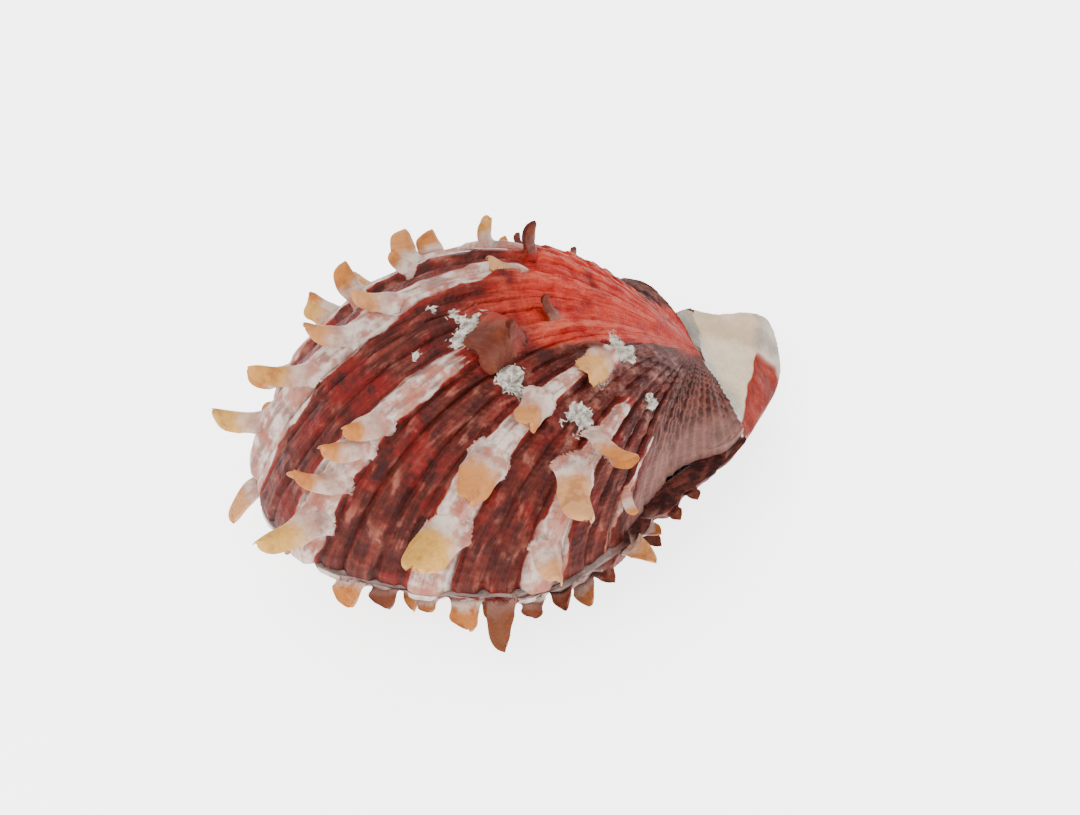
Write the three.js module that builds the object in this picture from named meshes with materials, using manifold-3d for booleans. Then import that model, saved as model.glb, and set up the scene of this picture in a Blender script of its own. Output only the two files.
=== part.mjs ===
// Spiny oyster shell: a closed pair of valves with ribs and flat, tongue-like spines.
// Millimetres, +Z up. +X runs from the ventral margin to the beak, +Y to the back.
// The shell lies on the flat scar where the lower valve was cemented down.

import * as THREE from 'three';
import Module from 'manifold-3d';
import { mergeVertices } from 'three/addons/utils/BufferGeometryUtils.js';

// Driving dimensions. Places along a margin are given as u, from 0 at the back end of the hinge
// round the ventral edge to 1 at its front end. Growth is t, from 0 at the beak to 1 at the margin.
const EDGE = 1.6;
const GAP = 0.3;
const CREST = 49.7;
const CREST_GROWTH = 0.3;
const BACK_LIFT = 0.18;
const FRONT_DRIFT = -0.025;
const UMBO_TAPER = 1.12;
const UMBO_WIDENING = 0.46;
const UMBO = [-0.2, 3.5, 1.1];
const MIDDLE = [-42, 0];
const LIFTED_FROM = -20;
const LIFTED_FULL = 33;
const UPPER_HOLLOW = [0.9, 0.88, 0.84];
const LOWER_HOLLOW = [0.9, 0.88, 0.78];
const LOWER_UMBO = [-10, 2];
const LOWER_DEPTH = 26;
const BEAK_SHARE = 0.68;
const BEAK_REACH = 20.8;
const LOWER_FULL_FROM = -44;
const SCAR_DEPTH = 22;
const SCAR_CENTRE = [-28, 1];
const HINGE_PLATE = 7;
const RIB_SHOULDER = 0.28;
const RIB_START = 0.12;
const RIB_FULL = 0.85;
const ROWS = 9;
const ROW_CROWDING = 1.35;
const CAVITY_COLUMNS = 20;
const CAVITY_ROWS = 5;
const NEIGHBOUR_REACH = 1.05;
const NEIGHBOUR_CORNERS = 60;
const BEAK_COLUMNS = 14;

// How far the blocks that cut the valves reach beyond them, and how far a hollow goes past the
// plane between the valves.
const FAR = 160;
const PAST = 5;

// A spine's cross-sections as [share of the length, share of the width, bend as share of the
// width], and the spine's thickness as a share of its width.
const SPINE_RINGS = [[-0.25, 1.15, -0.2], [0.28, 1, 0], [0.88, 0.72, 0.06]];
const SPINE_SIDES = 6;
const SPINE_THICKNESS = 0.48;
const SPINE_ROOT = 0.8;
const SPINE_TIP_BEND = 0.1;
const SPINE_LAST_T = 0.99;

const LOWER_TOP = -EDGE - GAP;

// The lower valve's depth is its full depth times (1 - t ** first) ** second. Its ventral side
// slopes in from the margin, and its beak is steeper.
const LOWER_BULGE = [2, 1];
const BEAK_BULGE = [4, 0.45];
const BEAK_BULGE_FULL_FROM = 8;

// The margins seen from above, from the back end of the hinge round to its front end.
const UPPER_MARGIN = marginCurve([
  [0, 18], [-1, 23], [-4, 28], [-11, 29], [-20, 28], [-33, 33], [-48, 37], [-64, 35], [-80, 26],
  [-91, 12], [-94.5, -2], [-91, -16], [-80, -27], [-65, -36], [-50, -39.5], [-36, -35], [-23, -26],
  [-15, -21.5], [-5, -21], [0, -18],
]);
const LOWER_MARGIN = marginCurve([
  [0, 18], [-1, 24], [-5, 29.5], [-11, 30.5], [-20, 29.5], [-33, 34], [-48, 38], [-64, 36], [-80, 27],
  [-91.5, 12], [-95, -2], [-91.5, -16], [-80, -28], [-65, -37], [-50, -41], [-36, -37], [-24, -30.5],
  [-13, -26], [-5, -23], [0, -19.5],
]);

// The rim of the lower valve's beak, from the front end of the hinge round to its back end.
const BEAK_RIM = marginCurve([
  [0, -19.5], [4, -15.5], [8, -10.5], [13, -6], [17.2, -2], [20, 3], [BEAK_REACH, 8.5], [19.6, 13],
  [15, 15.4], [9.5, 16], [4.5, 18.4], [0, 18],
]);

// The sloping top of the beak: a faintly hollow area, and a flank that falls off to its front.
const CARDINAL_MIDDLE = [9, 5];
const CARDINAL_DROP = 1.75;
const CARDINAL_SLOPE = 12.2;
const CARDINAL_TILT = 4.5;
const CARDINAL_HOLLOW = 70;
const CARDINAL_SIDES = 96;
const CARDINAL_FROM = 0.05;
const FLANK_MIDDLE = [9, -1.5];
const FLANK_TURN = 57.4;
const FLANK_SLOPE = 45;
const FLANK_DROP = 1.8;

// Ribs as [first u, last u, height]. The high ones carry the spines.
const UPPER_RIBS = [
  [0.02, 0.065, 0.5], [0.065, 0.11, 0.5], [0.11, 0.155, 0.6],
  [0.155, 0.185, 1.6], [0.185, 0.215, 0.7], [0.215, 0.245, 1.6], [0.245, 0.272, 0.7], [0.272, 0.302, 1.7],
  [0.302, 0.318, 0.7], [0.318, 0.346, 1.7], [0.346, 0.37, 0.7], [0.37, 0.405, 1.8], [0.405, 0.44, 0.8],
  [0.44, 0.476, 2], [0.476, 0.5, 0.7], [0.5, 0.525, 0.9], [0.525, 0.549, 0.7], [0.549, 0.583, 2],
  [0.583, 0.602, 0.7], [0.602, 0.63, 1.1], [0.63, 0.649, 0.7], [0.649, 0.69, 2.1], [0.69, 0.715, 0.8],
  [0.715, 0.742, 0.8], [0.742, 0.774, 2], [0.774, 0.8, 0.7], [0.8, 0.827, 0.7], [0.827, 0.845, 1.2],
  [0.845, 0.88, 0.6], [0.88, 0.915, 0.6], [0.915, 0.95, 0.5], [0.95, 0.98, 0.5],
];
const LOWER_RIBS = evenRibs(0.04, 0.96, 24, 1.6, 0.8);

// Spines as [rib u, t, rise, lean, length, width]. Rise is the angle in degrees from the growth
// direction towards the outside, and lean the angle sideways towards the back.
const UPPER_SPINES = [
  [0.668, 0.53, 5, 12, 10, 7.5], [0.668, 0.73, 28, 11, 9, 6.5], [0.671, 0.85, 38, 3, 12, 8.5],
  [0.672, 0.94, 50, -17, 13.5, 9],
  [0.755, 0.77, 74, 18, 13, 7], [0.753, 0.84, 47, 12, 13.5, 8.5], [0.758, 0.96, 57, 9, 8, 6.5],
  [0.836, 0.93, 45, 5, 4, 3.5],
  [0.56, 0.65, 15, 22, 11, 10], [0.566, 0.86, 54, -9, 9.5, 6], [0.568, 0.89, 66, -15, 11, 6],
  [0.57, 0.93, 88, -20, 13, 6], [0.568, 0.97, 68, -10, 14.5, 7.5],
  [0.58, 0.64, 70, -19, 10.5, 4], [0.546, 0.52, 42, -15, 8.5, 4],
  [0.44, 0.6, 22, 0, 8.5, 5.5], [0.457, 0.79, 42, 2, 10, 6], [0.465, 0.85, 54, 0, 10, 6],
  [0.47, 0.9, 56, 0, 12.5, 6.5], [0.455, 0.97, 62, -11, 12, 6.5],
  [0.386, 0.6, 78, 4, 7.2, 5], [0.388, 0.8, 62, -4, 5, 5], [0.386, 0.87, 92, -8, 7.5, 5.5],
  [0.372, 0.92, 65, -6, 8, 6], [0.388, 0.98, 47, 0, 9.5, 6.5],
  [0.332, 0.72, 96, 0, 5.6, 6], [0.33, 0.84, 88, -8, 7, 6], [0.332, 0.95, 65, 0, 9, 5.5],
  [0.287, 0.7, 76, 0, 2.4, 3], [0.287, 0.85, 78, -7, 6.5, 6], [0.287, 0.95, 60, 5, 9, 6],
  [0.23, 0.64, 70, 0, 2.4, 3], [0.23, 0.8, 65, 5, 4, 4], [0.23, 0.94, 60, 8, 10, 6],
  [0.17, 0.75, 60, 0, 2.8, 3], [0.17, 0.92, 55, 10, 8, 5.5],
];
const LOWER_SPINES = [
  [0.474, 0.97, 70, -18, 12, 5.5], [0.545, 0.97, 66, 0, 3.5, 5], [0.609, 0.97, 70, -14, 6.5, 7],
  [0.637, 0.97, 70, -19, 4.8, 6], [0.672, 0.97, 70, -13, 3, 5], [0.704, 0.97, 70, -7, 6.8, 7],
  [0.732, 0.97, 70, -6, 11, 6.5], [0.755, 0.97, 70, 0, 3.8, 5], [0.779, 0.97, 50, 0, 4.8, 5.5],
  [0.818, 0.97, 60, -5, 3.4, 4.5], [0.849, 0.97, 40, -13, 10, 6], [0.872, 0.97, 42, -18, 4.2, 4],
  [0.903, 0.97, 50, 0, 3, 3.5], [0.928, 0.97, 50, 0, 2.6, 3.2],
  [0.43, 0.96, 66, 0, 7, 5.5], [0.395, 0.97, 62, 5, 8, 5.5], [0.355, 0.96, 66, 4, 10, 6],
  [0.315, 0.97, 60, 0, 7, 5], [0.28, 0.96, 62, -5, 11, 6], [0.24, 0.97, 58, 4, 8, 5.5],
  [0.2, 0.96, 60, 8, 9, 5.5], [0.16, 0.97, 55, 6, 6.5, 5], [0.115, 0.97, 50, 5, 5, 4],
  [0.41, 0.86, 70, 0, 8, 5.5], [0.335, 0.87, 68, 6, 8, 5.5], [0.26, 0.86, 66, -4, 9, 5.5],
  [0.18, 0.87, 62, 0, 6.5, 5], [0.49, 0.87, 70, -4, 7, 5.5], [0.57, 0.86, 70, 5, 7, 6],
  [0.64, 0.87, 68, -5, 6.5, 5.5], [0.71, 0.86, 66, 0, 6.5, 6], [0.79, 0.87, 62, 5, 6, 5.5],
  [0.87, 0.87, 58, 0, 5, 4.5],
];

// Curve helpers

// A spline through the points of a margin, read by its share of the length.
function marginCurve(points) {
  const curve = new THREE.SplineCurve(points.map(([x, y]) => new THREE.Vector2(x, y)));
  curve.arcLengthDivisions = 600;
  return curve;
}

function smoothStep(value, low, high) {
  return THREE.MathUtils.smoothstep(value, low, high);
}

// Equal ribs between two places on a margin, with every second one high.
function evenRibs(first, last, count, high, low) {
  const width = (last - first) / count;
  const ribs = [];
  for (let i = 0; i < count; i += 1) {
    ribs.push([first + i * width, first + (i + 1) * width, i % 2 ? low : high]);
  }
  return ribs;
}

// Surfaces of growth

// The upper valve's smooth outside: the margin shrinks towards the umbo while it turns up about
// the hinge line.
function upperSmooth(u, t) {
  const margin = UPPER_MARGIN.getPointAt(u);
  const age = 1 - t;
  const back = smoothStep(margin.y, LIFTED_FROM, LIFTED_FULL);
  const turn = CREST * (1 - Math.exp(-age / CREST_GROWTH)) * (1 + BACK_LIFT * back);
  const angle = THREE.MathUtils.degToRad(turn);
  const size = t ** UMBO_TAPER;
  const reach = -margin.x;
  const across = (margin.y + FRONT_DRIFT * age * reach) * (1 - UMBO_WIDENING * age);
  return new THREE.Vector3(
    -size * reach * Math.cos(angle) + UMBO[0] * age,
    size * across + UMBO[1] * age,
    size * reach * Math.sin(angle) + UMBO[2] * age,
  );
}

// The lower valve's smooth outside: rays from under its hinge to the margin, where u is up to 1,
// and on to the rim of the beak, where u runs from 1 to 2. They bulge down.
function lowerSmooth(u, t) {
  const rim = u <= 1 ? LOWER_MARGIN.getPointAt(u) : BEAK_RIM.getPointAt(u - 1);
  const x = THREE.MathUtils.lerp(LOWER_UMBO[0], rim.x, t);
  const y = THREE.MathUtils.lerp(LOWER_UMBO[1], rim.y, t);
  const full = smoothStep(-x, -BEAK_REACH, -LOWER_FULL_FROM);
  const deep = LOWER_DEPTH * THREE.MathUtils.lerp(BEAK_SHARE, 1, full);
  const beak = smoothStep(rim.x, 0, BEAK_BULGE_FULL_FROM);
  const [fall, turn] = LOWER_BULGE.map((low, i) => THREE.MathUtils.lerp(low, BEAK_BULGE[i], beak));
  return new THREE.Vector3(x, y, LOWER_TOP - deep * (1 - t ** fall) ** turn);
}

// The directions at a place on a valve: along the growth, outwards and across.
function directions(surface, u, t) {
  const step = 0.002;
  const late = Math.min(t, 1 - step);
  const left = surface(Math.max(u - step, 0), late);
  const right = surface(Math.min(u + step, 1), late);
  const growth = surface(u, late + step).sub(surface(u, late - step)).normalize();
  const out = right.sub(left).cross(growth).normalize();
  const point = surface(u, t);
  const middle = new THREE.Vector3(...MIDDLE, 0);
  if (out.dot(point.clone().sub(middle)) < 0) {
    out.negate();
  }
  return { point, growth, out, across: out.clone().cross(growth) };
}

// How far the ribs stand out: flat-topped, and growing from the umbo to the margin.
function ribHeight(ribs, u, t) {
  for (const [first, last, height] of ribs) {
    if (u > first && u < last) {
      const inside = Math.min(u - first, last - u) / (last - first);
      return height * smoothStep(inside, 0, RIB_SHOULDER) * smoothStep(t, RIB_START, RIB_FULL);
    }
  }
  return 0;
}

function ribbed(surface, ribs) {
  return (u, t) => {
    const height = ribHeight(ribs, u, t);
    if (height === 0) {
      return surface(u, t);
    }
    const { point, out } = directions(surface, u, t);
    return point.addScaledVector(out, height);
  };
}

// Columns at each rib's two feet and at the two edges of its flat top.
function ribColumns(ribs) {
  const columns = new Set([0, 1]);
  for (const [first, last] of ribs) {
    for (const share of [0, RIB_SHOULDER, 1 - RIB_SHOULDER, 1]) {
      columns.add(Number(THREE.MathUtils.lerp(first, last, share).toFixed(5)));
    }
  }
  return [...columns].sort((a, b) => a - b);
}

function evenColumns(count) {
  return Array.from({ length: count + 1 }, (_, i) => i / count);
}

// The columns that go on round the beak, without its two ends, which the margin already has.
function beakColumns(count) {
  return evenColumns(count).slice(1, -1).map((u) => u + 1);
}

// Solids

function manifoldFrom(positions, faces) {
  const geometry = new THREE.BufferGeometry();
  geometry.setAttribute('position', new THREE.Float32BufferAttribute(positions.flat(), 3));
  geometry.setIndex(faces.flat());
  return manifoldOf(geometry);
}

function manifoldOf(geometry) {
  geometry.deleteAttribute('normal');
  geometry.deleteAttribute('uv');
  const merged = mergeVertices(geometry, 1e-4);
  return new wasm.Manifold(new wasm.Mesh({
    numProp: 3,
    vertProperties: Float32Array.from(merged.attributes.position.array),
    triVerts: Uint32Array.from(merged.index.array),
  }));
}

// A valve's outside closed by a straight skirt and a flat cap at the height given. Its columns
// either go right round, or run from one end of the hinge to the other.
function domeSolid(surface, columns, rows, capHeight, goesRound) {
  const ages = Array.from({ length: rows }, (_, j) => 1 - (1 - (j + 1) / rows) ** ROW_CROWDING);
  const positions = [surface(0, 0).toArray()];
  for (const u of columns) {
    for (const t of ages) {
      positions.push(surface(u, t).toArray());
    }
  }
  const at = (i, j) => (j === 0 ? 0 : 1 + (i % columns.length) * rows + j - 1);
  const strips = goesRound ? columns.length : columns.length - 1;
  const faces = [];
  const rim = [];
  for (let i = 0; i < strips; i += 1) {
    faces.push([0, at(i + 1, 1), at(i, 1)]);
    for (let j = 1; j < rows; j += 1) {
      faces.push([at(i, j), at(i + 1, j + 1), at(i, j + 1)]);
      faces.push([at(i, j), at(i + 1, j), at(i + 1, j + 1)]);
    }
    rim.push(at(i, rows));
  }
  if (!goesRound) {
    for (let j = rows; j > 0; j -= 1) {
      rim.push(at(strips, j));
    }
    for (let j = 0; j < rows; j += 1) {
      rim.push(at(0, j));
    }
  }
  const foot = positions.length;
  for (const index of rim) {
    const [x, y] = positions[index];
    positions.push([x, y, capHeight]);
  }
  positions.push([...MIDDLE, capHeight]);
  const hub = positions.length - 1;
  rim.forEach((index, k) => {
    const next = (k + 1) % rim.length;
    faces.push([index, rim[next], foot + next]);
    faces.push([index, foot + next, foot + k]);
    faces.push([foot + k, foot + next, hub]);
  });
  return manifoldFrom(positions, orient(positions, faces));
}

// Turns the faces over where the solid comes out inside out.
function orient(positions, faces) {
  let volume = 0;
  for (const face of faces) {
    const [a, b, c] = face.map((index) => new THREE.Vector3(...positions[index]));
    volume += a.dot(b.cross(c));
  }
  return volume < 0 ? faces.map(([a, b, c]) => [a, c, b]) : faces;
}

// One spine: a flattened tongue that starts inside the valve and bends a little towards the beak.
function spineSolid(surface, [u, t, rise, lean, length, width]) {
  const { point, growth, out, across } = directions(surface, u, Math.min(t, SPINE_LAST_T));
  const riseAngle = THREE.MathUtils.degToRad(rise);
  const leanAngle = THREE.MathUtils.degToRad(lean);
  const along = growth.clone().multiplyScalar(Math.cos(riseAngle))
    .addScaledVector(out, Math.sin(riseAngle))
    .multiplyScalar(Math.cos(leanAngle))
    .addScaledVector(across, Math.sin(leanAngle));
  const side = across.clone().addScaledVector(along, -across.dot(along)).normalize();
  const face = along.clone().cross(side);
  if (face.dot(growth) > 0) {
    face.negate();
  }
  const positions = [];
  for (const [share, wide, bend] of SPINE_RINGS) {
    const centre = point.clone().addScaledVector(along, share * length);
    centre.addScaledVector(face, bend * width).addScaledVector(out, share < 0 ? -SPINE_ROOT : 0);
    for (let k = 0; k < SPINE_SIDES; k += 1) {
      const angle = (2 * Math.PI * k) / SPINE_SIDES;
      const corner = centre.clone()
        .addScaledVector(side, 0.5 * wide * width * Math.cos(angle))
        .addScaledVector(face, 0.5 * SPINE_THICKNESS * wide * width * Math.sin(angle));
      positions.push(corner.toArray());
    }
  }
  const tip = positions.length;
  positions.push(
    point.clone().addScaledVector(along, length).addScaledVector(face, SPINE_TIP_BEND * width).toArray(),
    point.clone().addScaledVector(along, SPINE_RINGS[0][0] * length)
      .addScaledVector(out, -SPINE_ROOT).toArray(),
  );
  const faces = [];
  for (let k = 0; k < SPINE_SIDES; k += 1) {
    const next = (k + 1) % SPINE_SIDES;
    for (let ring = 0; ring < SPINE_RINGS.length - 1; ring += 1) {
      const low = ring * SPINE_SIDES;
      const high = low + SPINE_SIDES;
      faces.push([low + k, low + next, high + next], [low + k, high + next, high + k]);
    }
    const top = (SPINE_RINGS.length - 1) * SPINE_SIDES;
    faces.push([top + k, top + next, tip], [k, tip + 1, next]);
  }
  return manifoldFrom(positions, orient(positions, faces));
}

function withSpines(body, surface, spines) {
  return spines.reduce((solid, spine) => solid.add(spineSolid(surface, spine)), body);
}

// The hollow of a valve: its smooth outside drawn in towards the middle.
function hollowSolid(surface, share, level, capHeight, goesRound) {
  const centre = new THREE.Vector3(...MIDDLE, level);
  const scale = new THREE.Vector3(...share);
  const inside = (u, t) => surface(u, t).sub(centre).multiply(scale).add(centre);
  const columns = evenColumns(CAVITY_COLUMNS);
  if (goesRound) {
    columns.push(...beakColumns(BEAK_COLUMNS / 2));
  }
  const whole = domeSolid(inside, columns, CAVITY_ROWS, capHeight, goesRound);
  return whole.intersect(boxSolid([-FAR, -FAR, -FAR], [-HINGE_PLATE, FAR, FAR]));
}

// Everything on one side of the commissure within the outline of the other valve.
function neighbourBlock(margin, from, to) {
  const outline = margin.getSpacedPoints(NEIGHBOUR_CORNERS).map((p) => new THREE.Vector2(
    MIDDLE[0] + (p.x - MIDDLE[0]) * NEIGHBOUR_REACH,
    MIDDLE[1] + (p.y - MIDDLE[1]) * NEIGHBOUR_REACH,
  ));
  const block = new THREE.ExtrudeGeometry(new THREE.Shape(outline), {
    depth: to - from, bevelEnabled: false, curveSegments: 1,
  });
  block.translate(0, 0, from);
  return manifoldOf(block);
}

function boxSolid(low, high) {
  const size = high.map((value, axis) => value - low[axis]);
  const box = new THREE.BoxGeometry(...size);
  box.translate(...low.map((value, axis) => value + size[axis] / 2));
  return manifoldOf(box);
}

// What is taken off the top of the beak: a block with a slightly round underside, and a tilted
// block along the front flank.
function cardinalBlock() {
  const roller = new THREE.CylinderGeometry(CARDINAL_HOLLOW, CARDINAL_HOLLOW, FAR, CARDINAL_SIDES);
  roller.translate(0, 0, CARDINAL_HOLLOW);
  roller.rotateY(THREE.MathUtils.degToRad(CARDINAL_SLOPE));
  roller.rotateX(THREE.MathUtils.degToRad(CARDINAL_TILT));
  roller.translate(...CARDINAL_MIDDLE, LOWER_TOP - CARDINAL_DROP);
  const flank = new THREE.BoxGeometry(FAR, FAR, FAR);
  flank.translate(0, 0, FAR / 2);
  flank.rotateY(THREE.MathUtils.degToRad(FLANK_SLOPE));
  flank.rotateZ(THREE.MathUtils.degToRad(FLANK_TURN - 90));
  flank.translate(...FLANK_MIDDLE, LOWER_TOP - FLANK_DROP);
  const overBeak = boxSolid([CARDINAL_FROM, -FAR, -FAR], [FAR, FAR, FAR]);
  return manifoldOf(roller).add(manifoldOf(flank)).intersect(overBeak);
}

// The two valves

function upperValve() {
  const outside = ribbed(upperSmooth, UPPER_RIBS);
  const body = domeSolid(outside, ribColumns(UPPER_RIBS), ROWS, -EDGE, false);
  const hollow = hollowSolid(upperSmooth, UPPER_HOLLOW, -EDGE, -EDGE - PAST, false);
  const below = neighbourBlock(LOWER_MARGIN, -FAR, -EDGE);
  return withSpines(body, outside, UPPER_SPINES).subtract(hollow).subtract(below);
}

function lowerValve() {
  const outside = ribbed(lowerSmooth, LOWER_RIBS);
  const columns = [...ribColumns(LOWER_RIBS), ...beakColumns(BEAK_COLUMNS)];
  const bowl = domeSolid(outside, columns, ROWS, LOWER_TOP, true);
  const hollow = hollowSolid(lowerSmooth, LOWER_HOLLOW, LOWER_TOP, LOWER_TOP + PAST, true);
  const above = neighbourBlock(LOWER_MARGIN, LOWER_TOP, FAR);
  const scar = boxSolid([-FAR, -FAR, -FAR], [FAR, FAR, -SCAR_DEPTH]);
  return withSpines(bowl, outside, LOWER_SPINES)
    .subtract(above)
    .subtract(cardinalBlock())
    .subtract(hollow)
    .subtract(scar);
}

function nodeMesh(name, solid, material) {
  const { vertProperties, triVerts } = solid.getMesh();
  const geometry = new THREE.BufferGeometry();
  geometry.setAttribute('position', new THREE.BufferAttribute(vertProperties, 3));
  geometry.setIndex(new THREE.BufferAttribute(triVerts, 1));
  geometry.computeVertexNormals();
  const mesh = new THREE.Mesh(geometry, material);
  mesh.name = name;
  mesh.position.set(-SCAR_CENTRE[0], -SCAR_CENTRE[1], SCAR_DEPTH);
  return mesh;
}

const wasm = await Module();
wasm.setup();

const redShell = new THREE.MeshStandardMaterial({ color: 0x8c4a44, roughness: 0.6, metalness: 0 });
const paleShell = new THREE.MeshStandardMaterial({ color: 0xc9b3a4, roughness: 0.65, metalness: 0 });

const shell = new THREE.Group();
shell.add(nodeMesh('upper_valve', upperValve(), redShell));
shell.add(nodeMesh('lower_valve', lowerValve(), paleShell));

export default shell;
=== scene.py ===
"""Spiny oyster shell: the visual model of a closed pair of valves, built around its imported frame."""

import math

import bpy
import numpy as np
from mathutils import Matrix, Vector


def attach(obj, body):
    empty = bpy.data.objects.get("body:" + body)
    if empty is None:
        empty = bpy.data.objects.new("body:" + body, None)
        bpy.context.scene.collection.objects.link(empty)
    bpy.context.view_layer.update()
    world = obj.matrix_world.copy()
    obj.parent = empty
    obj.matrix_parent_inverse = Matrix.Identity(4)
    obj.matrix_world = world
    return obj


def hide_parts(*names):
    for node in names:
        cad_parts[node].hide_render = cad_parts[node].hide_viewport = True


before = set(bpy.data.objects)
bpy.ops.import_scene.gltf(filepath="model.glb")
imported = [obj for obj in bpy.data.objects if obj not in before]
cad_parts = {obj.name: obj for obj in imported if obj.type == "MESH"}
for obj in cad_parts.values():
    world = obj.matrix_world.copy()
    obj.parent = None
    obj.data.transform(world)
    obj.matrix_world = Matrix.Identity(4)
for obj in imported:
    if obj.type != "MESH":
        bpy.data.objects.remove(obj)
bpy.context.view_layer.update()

bl_info = {
    "name": "Spiny oyster shell",
    "version": (1, 0, 0),
    "blender": (4, 5, 0),
    "location": "3D View > Sidebar > Shell",
    "description": "Models a closed spiny oyster shell with its ribs, spines and crust",
    "category": "Add Mesh",
}

MM = 0.001

# The shell in millimetres, about the middle of its hinge line. Places along a margin are u, from 0
# at the back end of the hinge to 1 at its front end. Growth is t, from 0 at the umbo to 1.
ORIGIN = np.array([28.0, -1.0, 22.0])
MIDDLE = np.array([-42.0, 0.0])
UMBO = np.array([-0.2, 3.5, 1.1])
UMBO_TAPER = 1.12
UMBO_WIDENING = 0.46
CREST_GROWTH = 0.3
BACK_LIFT = 0.18
FRONT_DRIFT = -0.025
UPPER_HOLLOW = np.array([0.9, 0.88, 0.84])
LOWER_HOLLOW = np.array([0.9, 0.88, 0.78])
LOWER_UMBO = np.array([-10.0, 2.0])
BEAK_SHARE = 0.68
BEAK_REACH = 20.8
LOWER_FULL_FROM = -44.0
HINGE_PLATE = 7.0
LOWER_BULGE = (2.0, 1.0)
BEAK_BULGE = (4.0, 0.45)
BEAK_BULGE_FULL_FROM = 8.0
CARDINAL_MIDDLE = (9.0, 5.0)
CARDINAL_DROP = 1.75
CARDINAL_SLOPE = 12.2
CARDINAL_TILT = 4.5
CARDINAL_HOLLOW = 70.0
FLANK_MIDDLE = (9.0, -1.5)
FLANK_TURN = 57.4
FLANK_SLOPE = 45.0
FLANK_DROP = 1.8
NEIGHBOUR_REACH = 1.05

# How far cutting blocks reach, how far a hollow or a skirt goes past the plane that cuts it, and
# how far a second cut stays off the surface of the first.
FAR = 160.0
PAST = 5.0
CLEAR = 0.02

# Where a feature starts and where it is full, in growth (t) or along the margin (u), and the t at
# which the early places of the white bands are given.
RIBS_GROW = (0.12, 0.85)
RELIEF_GROWS = (0.03, 0.3)
STEPS_GROW = (0.2, 0.6)
RIBLETS_FROM = (0.85, 0.89)
EAR_FROM = (0.84, 0.875)
BANDS_EARLY = 0.6

# Ribs: the height in mm from which a rib is a high one, the share of it that its shoulders take,
# the width of a riblet in u, one turn across a rib, and the heights in mm of what lies on the ribs.
HIGH_RIB = 1.5
HIGH_SHOULDER = 0.34
LOW_SHOULDER = 0.2
RIBLET_WIDTH = 0.0095
RIB_TURN = 6.28
STEP_HEIGHT = 0.5
RIBLET_HEIGHT = 0.14
TUBE_HEIGHT = 0.28

# Ribs of the lower valve: their count, the u where they start, their span in u, and their heights
# in mm by turns.
LOWER_RIB_COUNT = 24
LOWER_RIBS_FROM = 0.04
LOWER_RIBS_SPAN = 0.92
LOWER_RIB_HEIGHTS = (1.6, 0.8)

# Growth steps: how many, how they crowd, how far they wander, and where each one drops.
STEP_COUNT = 15
STEP_CROWDING = 1.25
STEP_WANDER = 0.35
STEP_DROP = 0.86

# Mounds under the spines: half-width in u for each mm of a spine's width, reach in t behind and
# ahead of the spine, and height as a share of the spine's length.
MOUND_WIDTH = 0.0016
MOUND_BEHIND = 0.04
MOUND_AHEAD = 0.018
MOUND_HEIGHT = 0.1

# Meshes: the columns and rows of sheets, how rows crowd to the margin, and the sides of round ones.
HOLLOW_GRID = (60, 12)
CARDINAL_GRID = (110, 150)
ROW_CROWDING = 1.12
NEIGHBOUR_CORNERS = 120
BALL_SEGMENTS = 24
BALL_RINGS = 20

# Mottling: the size of its cells in mm, for each use.
CLOUD_CELL = 9.0
STEP_CELL = 7.0
BROAD_CELL = 6.0
SPOT_CELL = 3.2
CRUST_CELL = 2.6
FINE_CELL = 2.1
TUBE_CELL = 1.6

# Spines, as shares of their length or width, the last t that one grows from, and the widest that
# the white round its foot goes by, in mm.
SPINE_ROOT = 0.24
SPINE_FLARE = 0.16
SPINE_THICK = (0.18, 0.1)
SPINE_CUP = 0.3
SPINE_BOW = 0.1
SPINE_REACH = 0.93
SPINE_LAST_T = 0.99
FOOT_WIDEST = 6.5

# Smoothing where pieces meet, as (rings of vertices, repeats).
SPINE_SOFTENING = (3, 10)
BEAK_SOFTENING = (3, 14)

# The sheet that cuts the top of the beak, in mm: its reach, the trough at the hinge, its bumps as
# (height, cell), its growth lines, and how its top blends into the flank.
CUT_X = (0.05, 24)
CUT_Y = (-26, 24)
TROUGH_MIDDLE = (3, 1)
TROUGH_HALF = (2.2, 7)
TROUGH_DEPTH = 1.2
CUT_BUMPS = ((0.45, 5.0), (0.12, 1.7))
CUT_LINES = 6
CUT_LINE_HEIGHT = 0.07
EDGE_BLEND = 3
EDGE_ROUNDING = 0.75

# Camera: where the photograph was taken from, worked out about the middle of the shell.
CAMERA_TURN = -21.8
CAMERA_RISE = 47.2
CAMERA_DISTANCE = 600.0
CAMERA_AIM = np.array([-40.0, 0.0, 0.0])
CAMERA_LENS = 100.0
CAMERA_SHIFT = (0.01475, 0.0119)

# Studio: the light from all round, the floor's own glow, and each lamp's place, size and power.
STUDIO_LIGHT = 1.3
FLOOR_COLOUR = (0.94, 0.94, 0.94)
FLOOR_GLOW = 3.0
LAMPS = {
    "key": ((-0.55, -0.35, 0.9), 0.7, 13),
    "fill": ((0.7, -0.7, 0.6), 0.9, 5),
    "rim": ((0.1, 0.9, 0.7), 0.7, 5),
}

# Noise as (scale, detail, roughness), and streaks as their number across and along a valve.
CLOTH = (130.0, 4.0, 0.6)
GRAIN = (900.0, 3.0, 0.6)
UPPER_PATCH = (260.0, 4.0, 0.6)
LOWER_PATCH = (420.0, 4.0, 0.65)
CRIMSON_PATCH = (95.0, 3.0, 0.6)
STAIN_PATCH = (210.0, 3.0, 0.6)
TUBE_LINES = (420.0, 1.5)
FINE_STREAK = (1.0, 3.5, 0.55)
ROUGH_STREAK = (1.0, 4.0, 0.6)
UPPER_STREAKS = (170, 15)
LOWER_STREAKS = (150, 26)
WORN_STREAKS = (90, 12)
RIBLETS = 105
GROWTH_LINES = 95

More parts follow.
